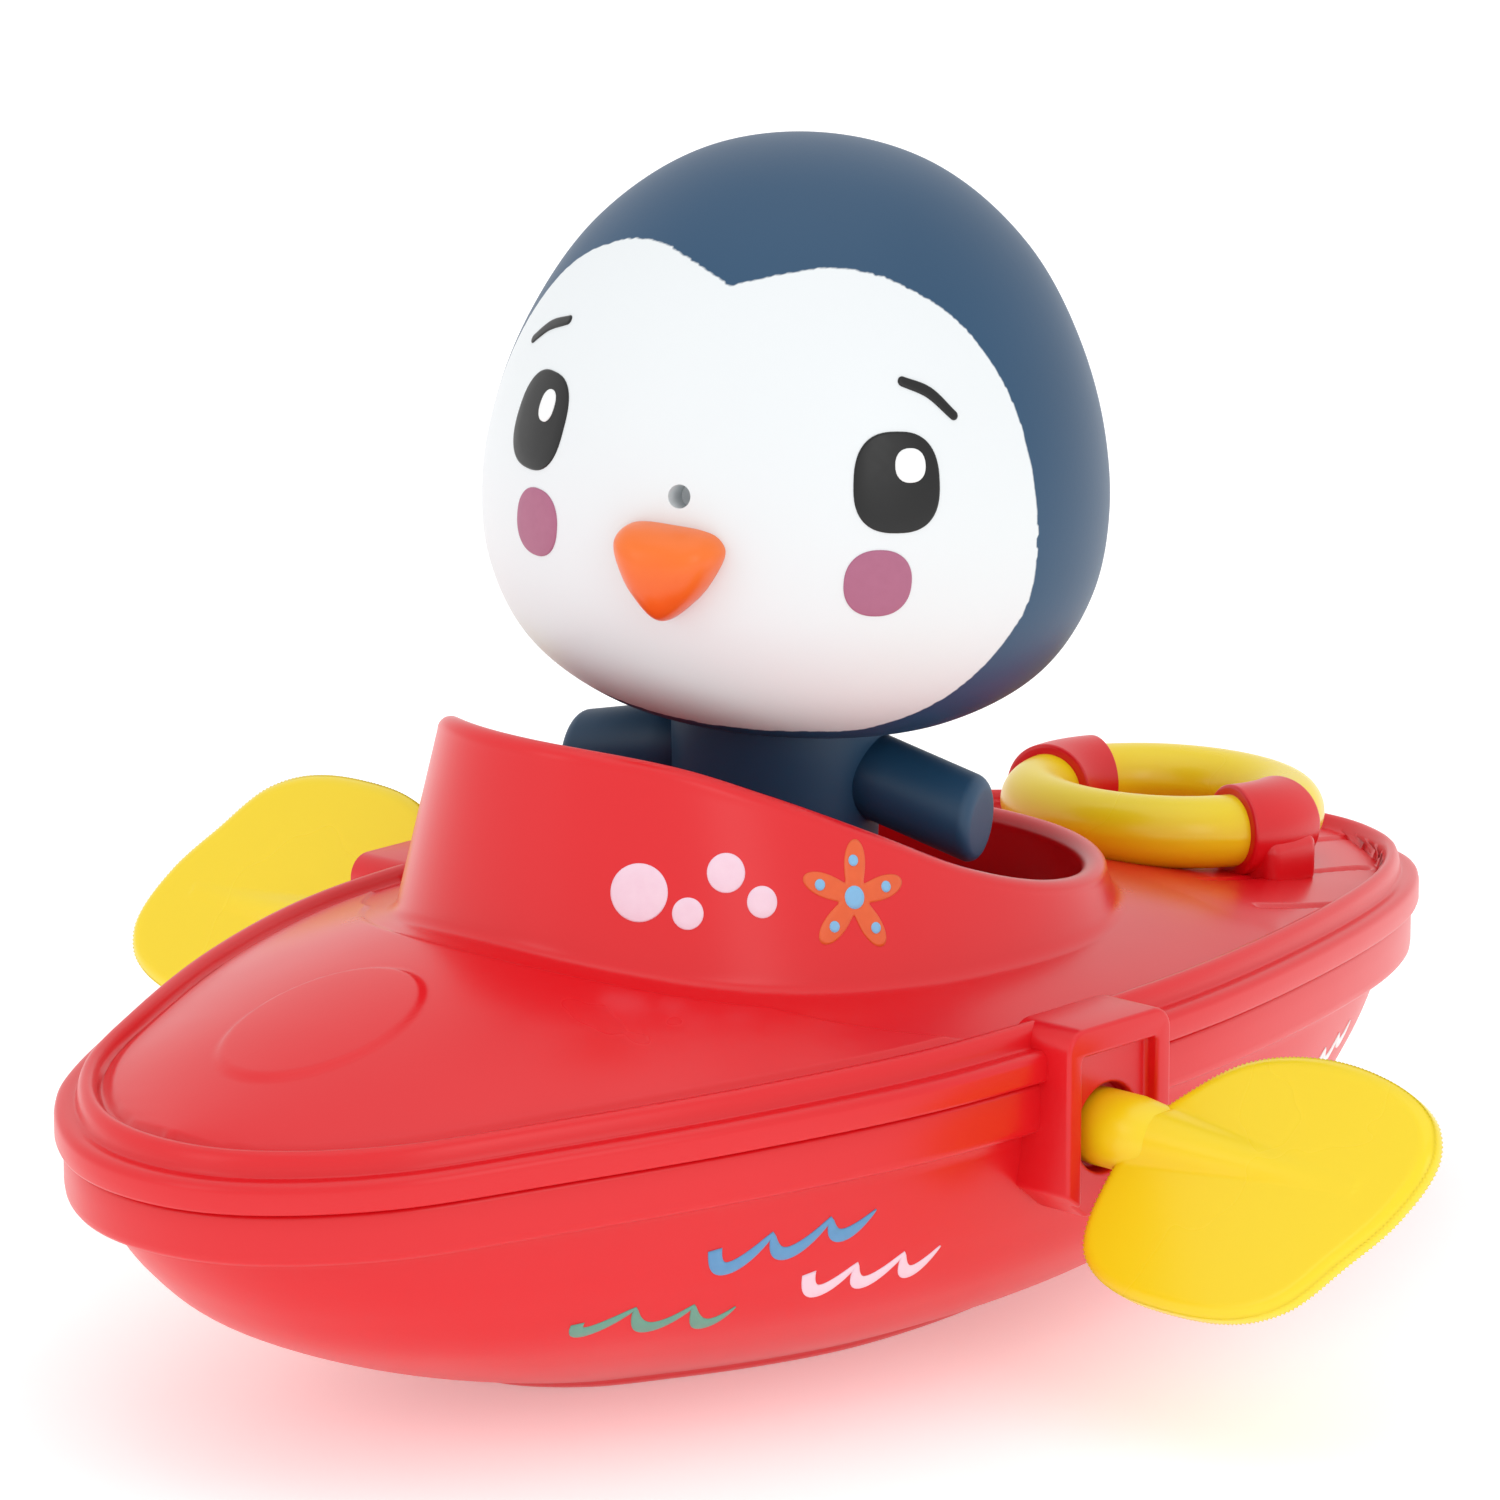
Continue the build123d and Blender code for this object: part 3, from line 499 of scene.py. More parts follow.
# blade outline: distance along the axle as a share from root to tip, height across the axle
BLADE = [(0.0, -9.0), (0.04, 0.0), (0.13, 5.0), (0.3, 10.6), (0.53, 13.0), (0.77, 12.4), (0.94, 9.6),
         (1.0, 5.0), (0.95, -2.0), (0.84, -8.5), (0.73, -14.2), (0.58, -17.2), (0.36, -18.1), (0.15, -17.2),
         (0.03, -14.2)]


def smooth_ring(points, count):
    """Evenly spaced points on a smooth closed curve through a list of points."""
    points = np.array(points, float)
    ahead, behind = np.roll(points, -1, axis=0), np.roll(points, 1, axis=0)
    reach = np.linalg.norm(ahead - points, axis=1)
    slope = (ahead - behind) / (reach + np.roll(reach, 1))[:, None]
    u = np.linspace(0, 1, 30, endpoint=False)[:, None]
    dense = [(1 + 2 * u) * (1 - u) ** 2 * points[k] + u * (1 - u) ** 2 * reach[k] * slope[k]
             + u * u * (3 - 2 * u) * ahead[k] + u * u * (u - 1) * reach[k] * np.roll(slope, -1, axis=0)[k]
             for k in range(len(points))]
    dense = np.vstack(dense + [points[:1]])
    along = np.concatenate([[0], np.cumsum(np.linalg.norm(np.diff(dense, axis=0), axis=1))])
    even = np.linspace(0, along[-1], count, endpoint=False)
    return np.stack([np.interp(even, along, dense[:, i]) for i in (0, 1)], axis=1)


def ridge_height(along, across):
    """Half thickness of the hub and the ridge over the blade."""
    share = np.clip((along - BLADE_ROOT) / (RIDGE_END - BLADE_ROOT), 0, 1)
    radius = HUB_R * (1 - share) + 1.2 * share
    return np.sqrt(np.maximum(radius ** 2 - across ** 2, 0)) * (along < RIDGE_END + 3)


def blade_thickness(along, across, from_edge):
    """Half thickness of the blade with its rounded edge and the ridge blended in."""
    edge_r = BLADE_T / 2
    flat = edge_r * np.sqrt(np.clip(1 - (1 - np.clip(from_edge / edge_r, 0, 1)) ** 2, 0, 1))
    ridge = ridge_height(along, across) * soft_step(from_edge, 2.0)
    blend = 0.35
    total = np.logaddexp(flat / blend, ridge / blend) * blend
    return np.where(ridge > 0.01, np.where(from_edge > 0, total * soft_step(from_edge, 0.4), 0), flat)


def make_paddle(name, side, turn_degrees):
    rim = smooth_ring([(BLADE_ROOT + a * (BLADE_TIP - BLADE_ROOT), t) for a, t in BLADE], 420)
    centre = np.array([76.0, -2.4])
    top, bottom = [], []
    for share in np.concatenate([1 - np.linspace(0, 1, 12) ** 2 * 0.10, np.linspace(0.885, 0.01, 52)]):
        plan = centre + (rim - centre) * share
        gap = np.min(np.hypot(plan[:, None, 0] - rim[None, ::2, 0], plan[:, None, 1] - rim[None, ::2, 1]), axis=1)
        half = blade_thickness(plan[:, 0], plan[:, 1], gap if share < 1 else gap * 0)
        top.append(np.column_stack([plan[:, 1], plan[:, 0], half]))
        bottom.append(np.column_stack([plan[:, 1], plan[:, 0], -half]))
    loops = bottom[::-1] + top[1:]
    piece = shell_of(name, place_paddle(loops, side, turn_degrees), yellow_abs, caps=(0, -1))
    a = np.linspace(0, 2 * math.pi, 96, endpoint=False)
    hub = []
    for y, r in ((51.2, 1.55), (51.2, HUB_R - 0.4), (51.35, HUB_R - 0.12), (51.7, HUB_R), (54.0, HUB_R),
                 (BLADE_ROOT + 1, HUB_R), (BLADE_ROOT + 8, HUB_R - 0.9), (BLADE_ROOT + 8.5, 1.0)):
        hub.append(np.column_stack([r * np.cos(a), np.full(96, y), r * np.sin(a)]))
    hub_piece = shell_of(name + "_hub", place_paddle(hub, side, turn_degrees), yellow_abs, caps=(0, -1))
    for part in (piece, hub_piece):
        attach(part, "paddle_wheel")
    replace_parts(piece, name)
    return piece


def place_paddle(loops, side, turn_degrees):
    """Turns flat paddle loops about the axle and mirrors them to their side."""
    turn = math.radians(turn_degrees)
    placed = []
    for loop in loops:
        x = AXLE_X + loop[:, 0] * math.cos(turn) - loop[:, 2] * math.sin(turn)
        z = AXLE_Z + loop[:, 0] * math.sin(turn) + loop[:, 2] * math.cos(turn)
        placed.append(np.column_stack([x, side * loop[:, 1], z]))
    return placed if side > 0 else placed[::-1]


make_paddle("paddle_port", 1, PORT_TURN)
make_paddle("paddle_starboard", -1, STARBOARD_TURN)


# ---- Life ring and its two straps ----
# A hollow yellow ring lies on the aft deck. Two red bands go over it at its sides, close round the tube and run
# down into posts on the deck; their edges are rounded.
RING_LO, RING_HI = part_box("life_ring")
RING_X = (RING_LO.x + RING_HI.x) / 2 / MM
RING_TUBE = 4.2
RING_R = (RING_HI.y - RING_LO.y) / 2 / MM - RING_TUBE
RING_Z = (RING_LO.z + RING_HI.z) / 2 / MM
RING_PITCH = math.radians(3.0)


def on_ring(turn, radius, tube_turn):
    """Point on the ring: turn about its axis, radius from the tube's middle, turn round the tube."""
    reach = RING_R + radius * np.cos(tube_turn)
    x, y, z = reach * np.cos(turn), reach * np.sin(turn), radius * np.sin(tube_turn)
    return np.stack([RING_X + x * math.cos(RING_PITCH) - z * math.sin(RING_PITCH), y + 0 * x,
                     RING_Z + x * math.sin(RING_PITCH) + z * math.cos(RING_PITCH)], axis=-1)


section = np.linspace(0, 2 * math.pi, 72, endpoint=False)
parting = 1 + 0.006 * np.exp(-(np.sin(section) / 0.06) ** 2)
ring_loops = [on_ring(turn, RING_TUBE * parting, section)
              for turn in np.linspace(0, 2 * math.pi, 220, endpoint=False)]
ring = shell_of("life_ring_moulding", ring_loops, yellow_abs, closed_rows=True)
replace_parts(ring, "life_ring")
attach(ring, "boat")

STRAP_T = 1.15
STRAP_HALF_ARC = math.radians(17)


def make_strap(side, name):
    """Band over the tube with rounded edges, and the post under its outer side."""
    loops = []
    round_edge = 0.45
    stations = [(-1.0, -0.2), (-1.0, STRAP_T - round_edge), (-0.985, STRAP_T - 0.12), (-0.95, STRAP_T)]
    stations += [(u, STRAP_T) for u in np.linspace(-0.9, 0.9, 13)]
    stations += [(-u, t) for u, t in stations[3::-1]]
    for along, lift in stations:
        turn = side * (math.pi / 2) + along * STRAP_HALF_ARC
        loops.append(on_ring(turn, RING_TUBE + lift, section))
    band = shell_of(name, loops if side > 0 else loops, red_abs, closed_rows=False)
    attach(band, "boat")
    post_y = RING_R + 0.55 * RING_TUBE
    low = (RING_X - 4.2, side * post_y - 3.6, SEAM + 0.2)
    high = (RING_X + 4.2, side * post_y + 3.4, RING_Z - 0.4)
    post = bevelled_box(name + "_post", low, high, 1.5, red_abs, 6)
    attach(post, "boat")
    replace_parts(band, f"ring_strap_{name.rsplit('_', 1)[1]}")


make_strap(1, "strap_port")
make_strap(-1, "strap_starboard")


# ---- Penguin: a loose squirting figure that stands in the cockpit ----
# Soft PVC, rotation moulded in one skin: a round body with two stub arms and a big head, spray painted navy with
# a white mask and pad-printed eyes, brows and cheeks; the beak is moulded on and painted orange.
navy_vinyl = moulded_plastic("navy_vinyl_sprayed", "#1D4A6C", "#194363", 0.5, 0.7, 0.03, 0.06)
FIGURE_FOOT = Vector((0.6, -1.8, SEAM + WELL_FLOOR + 1.0))
FIGURE_TURN = math.radians(21.6)              # the face looks this far to port of the bow
FIGURE_LEAN = math.radians(-4.0)
# half profile of the head: height above the foot against radius
HEAD = [(0, 92.5), (13, 89.9), (24.2, 81.3), (30.4, 71.2), (33.8, 61), (34.8, 53), (33.8, 44.2), (29.8, 36.4),
        (22, 30.6), (11, 27.8), (0, 27.2)]
BODY = [(0, 0.4), (10.6, 0.4), (12.4, 0.9), (13.0, 2.4), (13.0, 5.0), (12.2, 8.5), (11.8, 14), (11.8, 20),
        (12.2, 26), (12.4, 31)]


def placed_figure(points):
    """Moves points from the figure's own frame, face along X and foot at zero, to their place in the boat."""
    points = np.asarray(points, float)
    x, y, z = points[..., 0], points[..., 1], points[..., 2]
    y, z = (y * math.cos(FIGURE_LEAN) - z * math.sin(FIGURE_LEAN),
            y * math.sin(FIGURE_LEAN) + z * math.cos(FIGURE_LEAN))
    x, y = (x * math.cos(FIGURE_TURN) - y * math.sin(FIGURE_TURN),
            x * math.sin(FIGURE_TURN) + y * math.cos(FIGURE_TURN))
    return np.stack([x + FIGURE_FOOT.x, y + FIGURE_FOOT.y, z + FIGURE_FOOT.z], axis=-1)


def smooth_line(points, count):
    """Evenly spaced points on a smooth open curve."""
    points = np.array(points, float)
    reach = np.linalg.norm(np.diff(points, axis=0), axis=1)
    at = np.concatenate([[0], np.cumsum(reach)])
    fine = np.linspace(0, at[-1], count * 8)
    dense = np.stack([through(list(zip(at, points[:, i])))(fine) for i in range(points.shape[1])], axis=1)
    along = np.concatenate([[0], np.cumsum(np.linalg.norm(np.diff(dense, axis=0), axis=1))])
    even = np.linspace(0, along[-1], count)
    return np.stack([np.interp(even, along, dense[:, i]) for i in range(points.shape[1])], axis=1)


mirrored = [(-r, z) for r, z in HEAD[1:4]][::-1] + HEAD[:-1]
head_line = smooth_line(mirrored, 700)
head_line = head_line[int(np.argmax(head_line[:, 0] >= 0)):]
head_line[0, 0] = 0.0
head_line = head_line[:int(np.argmax(head_line[:, 1] < 28.2))]
head_line = np.array([(np.interp(t, np.linspace(0, 1, len(head_line)), head_line[:, 0]),
                       np.interp(t, np.linspace(0, 1, len(head_line)), head_line[:, 1]))
                      for t in np.linspace(0, 1, 230)])
head_radius = through([(z, r) for r, z in head_line[::-1][::4]])


def on_head(angle, height, lift=0.0):
    """Point of the head's skin at an angle from the face's middle, in degrees, and a height."""
    r = head_radius(height)
    slope = (head_radius(np.asarray(height) + 0.5) - head_radius(np.asarray(height) - 0.5))
    steep = np.sqrt(1 + slope ** 2)
    a = np.radians(angle)
    out = r + lift / steep
    return placed_figure(np.stack([out * np.cos(a), out * np.sin(a), np.asarray(height) - lift * slope / steep],
                                  axis=-1))


def turned(line, count):
    """Loops of a turned shape in the figure's own frame."""
    a = np.linspace(0, 2 * math.pi, count, endpoint=False)
    return [placed_figure(np.column_stack([max(r, 0.02) * np.cos(a), max(r, 0.02) * np.sin(a), np.full(count, z)]))
            for r, z in line]


head = shell_of("penguin_head", turned(head_line[::-1], 360), None, caps=(0, -1))

# edge of the white mask on one side of the face: angle and height
MASK = [(0, 80.6), (14, 82.3), (28, 83.1), (44, 81.7), (58, 77.6), (66, 71), (69, 63.5), (70, 55), (69, 47.5),
        (64, 42), (57, 37), (46, 33), (24, 31.6), (0, 31.2)]
SQUIRT = (-1.1, 59.0)
nozzle = on_head(*SQUIRT, np.array([3.0, -4.0]))
start, inward = nozzle[0], nozzle[1] - nozzle[0]
inward /= np.linalg.norm(inward)
side = np.cross(inward, (0, 0, 1.0))
side /= np.linalg.norm(side)
upward = np.cross(side, inward)
a = np.linspace(0, 2 * math.pi, 40, endpoint=False)[:, None]
bore = [start + inward * d + 1.3 * (np.cos(a) * side + np.sin(a) * upward) for d in (0.0, 7.0)]
cut(head, shell_of("squirt_bore", bore, None, caps=(0, -1)))
head.data.shade_smooth()
head.data.set_sharp_from_angle(angle=math.radians(50))

# signed distance from the mask's edge, kept on the mesh for the paint
co = np.array([v.co for v in head.data.vertices], float) / MM - np.array(FIGURE_FOOT)
x = co[:, 0] * math.cos(FIGURE_TURN) + co[:, 1] * math.sin(FIGURE_TURN)
y = -co[:, 0] * math.sin(FIGURE_TURN) + co[:, 1] * math.cos(FIGURE_TURN)
y, z = (y * math.cos(FIGURE_LEAN) + co[:, 2] * math.sin(FIGURE_LEAN),
        -y * math.sin(FIGURE_LEAN) + co[:, 2] * math.cos(FIGURE_LEAN))
face_width = 0.58                             # millimetres of skin per degree, on average
flat = np.column_stack([np.abs(np.degrees(np.arctan2(y, x))) * face_width, z])
edge = smooth_line([(t * face_width, h) for t, h in MASK], 260)
near = np.array([np.min(np.hypot(edge[:, 0] - p[0], edge[:, 1] - p[1])) for p in flat])
closed = np.vstack([edge, [(-5, edge[-1, 1]), (-5, edge[0, 1])]])
ahead = np.roll(closed, -1, axis=0)
inside = np.zeros(len(flat), bool)
for (x0, z0), (x1, z1) in zip(closed, ahead):
    if z0 != z1:
        inside ^= ((z0 > flat[:, 1]) != (z1 > flat[:, 1])) & (
            flat[:, 0] < (x1 - x0) * (flat[:, 1] - z0) / (z1 - z0) + x0)
mask = head.data.attributes.new("mask", "FLOAT", "POINT")
mask.data.foreach_set("value", np.where(inside, near, -near).astype(np.float32))


def masked_vinyl():
    """Navy sprayed vinyl with a stencilled white face: a crisp edge with a trace of overspray."""
    material, tree, skin, place = start_material("navy_vinyl_white_mask")
    edge_of = add(tree, "ShaderNodeAttribute", {"attribute_name": "mask"})
    waver = add(tree, "ShaderNodeTexNoise", {"Scale": 1 / (1.5 * MM), "Detail": 3.0}, {"Vector": place})
    shifted = add(tree, "ShaderNodeMath", {"operation": "MULTIPLY_ADD", 1: 0.25, 2: -0.125},
                  {0: waver.outputs["Fac"]})
    line = add(tree, "ShaderNodeMath", {"operation": "ADD"}, {0: edge_of.outputs["Fac"], 1: shifted.outputs[0]})
    share = add(tree, "ShaderNodeMapRange", {"From Min": -0.12, "From Max": 0.12}, {"Value": line.outputs[0]})
    cloud = add(tree, "ShaderNodeTexNoise", {"Scale": 1 / (30 * MM), "Detail": 2.0}, {"Vector": place})
    navy = add(tree, "ShaderNodeMix", {"data_type": "RGBA", 6: colour("#1D4A6C"), 7: colour("#194363")},
               {0: cloud.outputs["Fac"]})
    paint = add(tree, "ShaderNodeMix", {"data_type": "RGBA", 7: colour("#E6EAEC")},
                {0: share.outputs["Result"], 6: navy.outputs[2]})
    tree.links.new(paint.outputs[2], skin.inputs["Base Color"])
    grain = add(tree, "ShaderNodeTexNoise", {"Scale": 1 / (0.7 * MM), "Detail": 2.0}, {"Vector": place})
    bump = add(tree, "ShaderNodeBump", {"Strength": 0.2, "Distance": 0.03 * MM}, {"Height": grain.outputs["Fac"]})
    tree.links.new(bump.outputs["Normal"], skin.inputs["Normal"])
    skin.inputs["Roughness"].default_value = 0.45
    skin.inputs["IOR"].default_value = 1.5
    return material


head.data.materials.append(masked_vinyl())
body_line = smooth_line(BODY, 60)
body = shell_of("penguin_body", turned(body_line, 160), navy_vinyl, caps=(0, -1))
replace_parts(head, "penguin_figure")


def make_arm(side):
    """Stub arm: a short round block with a softly rounded end."""
    a = np.linspace(0, 2 * math.pi, 72, endpoint=False)
    radius, reach, round_r = 4.9, 24.6, 1.4
    loops = []
    stations = [(8.0, radius), (14.0, radius), (20.0, radius)]
    stations += [(reach - round_r + round_r * math.sin(t), radius - round_r + round_r * math.cos(t))
                 for t in np.linspace(0, math.pi / 2, 8)]
    stations += [(reach, radius * 0.5), (reach, 0.1)]
    for out, r in stations:
        height = 22.6 - 4.2 * (out - 8) / (reach - 8)
        loops.append(placed_figure(np.column_stack([r * np.cos(a), np.full(72, side * out),
                                                    height + r * np.sin(a)])))
    return shell_of("penguin_arm_" + ("left" if side > 0 else "right"), loops if side > 0 else loops[::-1],
                    navy_vinyl, caps=(0, -1))


figure = [head, body, make_arm(1), make_arm(-1)]


def printed(name, light, roughness=0.35, deep=None):
    """Pad-printed ink: a thin even film with faint mottling where the pad lifted."""
    material, tree, skin, place = start_material(name)
    mottle = add(tree, "ShaderNodeTexNoise", {"Scale": 1 / (1.2 * MM), "Detail": 4.0}, {"Vector": place})
    tint = add(tree, "ShaderNodeMix", {"data_type": "RGBA", 6: colour(light), 7: colour(deep or light)},
               {0: mottle.outputs["Fac"]})
    tree.links.new(tint.outputs[2], skin.inputs["Base Color"])
    gloss = add(tree, "ShaderNodeMapRange", {"To Min": roughness - 0.05, "To Max": roughness + 0.08},
                {"Value": mottle.outputs["Fac"]})
    tree.links.new(gloss.outputs["Result"], skin.inputs["Roughness"])
    skin.inputs["IOR"].default_value = 1.48
    return material


black_ink = printed("black_pad_print", "#0B0B0C", 0.3, "#070708")
white_ink = printed("white_pad_print", "#F6F7F7", 0.3, "#EEF0F0")
cheek_ink = printed("rose_pad_print", "#AE6684", 0.45, "#A65F7D")


def film(name, rings, material):
    """Thin domed film from rings of points that run outwards in: buried edge first, crown last."""
    return shell_of(name, rings, material, caps=(0, -1))


def face_print(name, centre, outline_mm, material, lift=0.16):
    """Film on the face from an outline in millimetres about a centre given as angle and height."""
    angle, height = centre
    reach = np.radians(1) * float(head_radius(height))
    rings = []
    for share, rise in ((1.0, -0.3), (1.0, 0.4 * lift), (0.985, 0.8 * lift), (0.95, lift), (0.7, lift),
                        (0.4, lift), (0.1, lift)):
        ring = np.asarray(outline_mm) * share
        rings.append(on_head(angle + ring[:, 0] / reach, height + ring[:, 1], rise))
    piece = film(name, rings, material)
    figure.append(piece)
    return piece


def oval(half_width, half_height, power=2.3, count=72):
    a = np.linspace(0, 2 * math.pi, count, endpoint=False)
    c, s = np.cos(a), np.sin(a)
    return np.column_stack([half_width * np.sign(c) * np.abs(c) ** (2 / power),
                            half_height * np.sign(s) * np.abs(s) ** (2 / power)])


def stroke(points, widths, count=60):
    """Outline of a brush stroke along points with a width at each, round ended."""
    line = smooth_line(np.column_stack([points, widths]), count)
    run = np.gradient(line[:, :2], axis=0)
    run /= np.linalg.norm(run, axis=1)[:, None]
    side = np.column_stack([-run[:, 1], run[:, 0]]) * line[:, 2:3] / 2
    ends = []
    for tip, sign in ((line[-1], 1), (line[0], -1)):
        k = -1 if sign > 0 else 0
        for t in np.linspace(-80, 80, 9):
            t = math.radians(t)
            ends.append(tip[:2] + sign * run[k] * tip[2] / 2 * math.cos(t)
                        - sign * side[k] * math.sin(t))
    return np.vstack([line[:, :2] + side * 1.0, ends[:9], (line[:, :2] - side)[::-1], ends[9:]])


face_print("eye_right", (-38.2, 62.9), oval(4.9, 5.3, 2.6), black_ink)
face_print("eye_left", (39.1, 62.1), oval(4.9, 5.3, 2.6), black_ink)
face_print("eye_light_right", (-36.4, 64.7), oval(1.35, 1.75), white_ink, 0.26)
face_print("eye_light_left", (41.6, 63.9), oval(1.75, 1.8), white_ink, 0.26)
face_print("cheek_right", (-33.2, 52.3), oval(3.8, 3.7), cheek_ink)
face_print("cheek_left", (36.1, 51.3), oval(3.8, 3.7), cheek_ink)
for name, brow in (("brow_right", [(-53.2, 69.9), (-48.5, 71.9), (-41.6, 73.4)]),
                   ("brow_left", [(41.0, 72.4), (46.4, 71.3), (51.6, 68.8)])):
    middle = brow[1]
    reach = math.radians(1) * float(head_radius(middle[1]))
    offset = [((t - middle[0]) * reach, h - middle[1]) for t, h in brow]
    shape = stroke(offset, [1.0, 1.15, 1.0])
    line = smooth_line(offset, 40)
    rings = []
    for lift, thick in ((-0.3, 1.0), (0.08, 1.0), (0.14, 0.85), (0.16, 0.5), (0.16, 0.1)):
        ring = stroke(offset, [1.0 * thick, 1.15 * thick, 1.0 * thick])
        rings.append(on_head(middle[0] + ring[:, 0] / reach, middle[1] + ring[:, 1], lift))
    figure.append(film(name, rings, black_ink))


def beak_paint_with_painted_shade():
    """Sprayed orange over vinyl, with painted light and shade: lighter and yellower on top, darker and redder under
    the beak, blended by height.
    """
    material, tree, skin, place = start_material("orange_beak_painted_shade")
    height = add(tree, "ShaderNodeSeparateXYZ", links={"Vector": place})
    # painted light and shade: the orange goes from darker red low on the beak to lighter yellow high on it, by height,
    # with some mottling
    low, high = SEAM + 45.0, SEAM + 58.0
    share = add(tree, "ShaderNodeMapRange", {"From Min": low * MM, "From Max": high * MM},
                {"Value": height.outputs["Z"]})
    mottle = add(tree, "ShaderNodeTexNoise", {"Scale": 1 / (2.5 * MM), "Detail": 3.0}, {"Vector": place})
    painted_shade_blend = add(tree, "ShaderNodeMath", {"operation": "MULTIPLY_ADD", 1: 0.2},
                 {0: mottle.outputs["Fac"], 2: share.outputs["Result"]})
    tint = add(tree, "ShaderNodeMix", {"data_type": "RGBA", 6: colour("#E4421A"), 7: colour("#F0701A")},
               {0: painted_shade_blend.outputs[0]})
    tree.links.new(tint.outputs[2], skin.inputs["Base Color"])
    skin.inputs["Roughness"].default_value = 0.32
    skin.inputs["IOR"].default_value = 1.5
    return material


BEAK = [(-6.1, 3.3), (-4.6, 4.9), (0.0, 5.3), (4.6, 4.9), (6.1, 3.3), (5.2, 0.4), (3.2, -2.6), (0.0, -5.0),
        (-3.2, -2.6), (-5.2, 0.4)]
beak_ring = smooth_ring(BEAK, 120)
reach = math.radians(1) * float(head_radius(50.6))
rings = []
for t in np.linspace(0, 1, 22):
    share = math.cos(t * math.pi / 2) ** 0.75 if t < 1 else 0.01
    lift = 6.0 * math.sin(t * math.pi / 2) ** 0.95
    ring = beak_ring * max(share, 0.01) + (0, 0.9 * (1 - share))
    rings.append(on_head(-1.5 + ring[:, 0] / reach, 50.6 + ring[:, 1], lift - 0.5))
figure.append(film("beak", rings, beak_paint_with_painted_shade()))
for part in figure:
    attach(part, "figure")


# ---- Prints on the boat's port side ----
# Pad-printed inks: a starfish motif and pink bubbles on the coaming, three squiggles of waves on the hull and a
# pale dash near the stern. Each is a thin film that follows the moulding under it.
hull_tree = BVHTree.FromPolygons([v.co for v in hull.data.vertices], [p.vertices for p in hull.data.polygons])
deck_tree = BVHTree.FromPolygons([v.co for v in deck.data.vertices], [p.vertices for p in deck.data.polygons])
pink_ink = printed("pink_pad_print", "#F3D7E4", 0.35, "#ECC9DA")
blue_ink = printed("blue_pad_print", "#5F9CCB", 0.35, "#568FBF")
teal_ink = printed("teal_pad_print", "#69A591", 0.35, "#5F9A88")
orange_ink = printed("orange_pad_print", "#E8652F", 0.35, "#DE5A28")
sky_ink = printed("sky_pad_print", "#86BFE8", 0.35, "#7AB4DF")


def on_side(tree, ring, lift):
    """Points of a moulding's port side at X and Z in millimetres, lifted off the skin."""
    points = []
    for x, z in ring:
        hit, normal, _, _ = tree.ray_cast(Vector((x, 90.0, z)) * MM, Vector((0, -1, 0)))
        points.append((hit + normal * lift * MM) / MM)
    return np.array(points)


def wall_film(name, x, z, shape, material, lift=0.12):
    """Film laid square to the coaming's wall, from an outline about its middle."""
    _, normal, _, _ = deck_tree.ray_cast(Vector((x, 90.0, z)) * MM, Vector((0, -1, 0)))
    normal = Vector((normal.x, normal.y, 0)).normalized()
    along = Vector((-normal.y, normal.x, 0)) * -1
    middle = deck_tree.ray_cast(Vector((x, 90.0, z)) * MM, Vector((0, -1, 0)))[0]
    rings = []
    for share, rise in ((1.0, -0.25), (1.0, 0.4 * lift), (0.94, lift), (0.5, lift), (0.06, lift)):
        ring = []
        for u, v in np.asarray(shape) * share:
            start = middle + (along * u + Vector((0, 0, v)) + normal * 12) * MM
            hit, face, _, _ = deck_tree.ray_cast(start, -normal)
            ring.append((hit + face * rise * MM) / MM)
        rings.append(np.array(ring))
    piece = film(name, rings, material)
    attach(piece, "boat")


def disc(name, x, z, radius, material, lift=0.12):
    wall_film(name, x, z, oval(radius, radius, 2.0, 48), material, lift)


for k, (x, z, radius) in enumerate([(40.6, 57.1, 3.1), (37.4, 54.9, 1.7), (33.4, 59.0, 2.1), (30.6, 55.7, 1.7)]):
    disc(f"bubble_{k + 1}", x, z, radius, pink_ink)

STAR = (20.5, 55.0)
a = np.linspace(0, 2 * math.pi, 160, endpoint=False)
star_radius = 4.0 + 2.1 * np.cos(5 * (a - math.radians(100)))
star_ring = np.column_stack([1.08 * star_radius * np.cos(a), star_radius * np.sin(a)])
wall_film("starfish", *STAR, star_ring, orange_ink)
for k in range(5):
    turn = math.radians(100 + 72 * k)
    arm = np.array([math.cos(turn), math.sin(turn)])
    spot = np.array(STAR) + arm * (1.08, 1.0) * 3.9
    disc(f"starfish_spot_{k + 1}", spot[0], spot[1], 0.62, sky_ink, 0.2)
disc("starfish_middle", STAR[0], STAR[1], 1.25, sky_ink, 0.2)


def wave_line(points, thick):
    """Middle line and widths of a squiggle: arcs that sag between pointed cusps."""
    points = np.array(points, float)
    line = []
    for k in range(0, len(points) - 2, 2):
        a, low, b = points[k], points[k + 1], points[k + 2]
        middle = 2 * low - (a + b) / 2
        last = k + 2 >= len(points) - 1
        for u in np.linspace(0, 1, 26)[: None if last else -1]:
            at = (1 - u) ** 2 * a + 2 * u * (1 - u) * middle + u * u * b
            start = thick if k == 0 else 0.3 * thick
            finish = 0.1 * thick if last else 0.3 * thick
            width = (1 - u) * start + u * finish
            width += (thick * 1.05 - width) * math.sin(math.pi * u) ** 0.8 if 0 < u < 1 else 0
            line.append((at[0], at[1], width))
    return np.array(line)


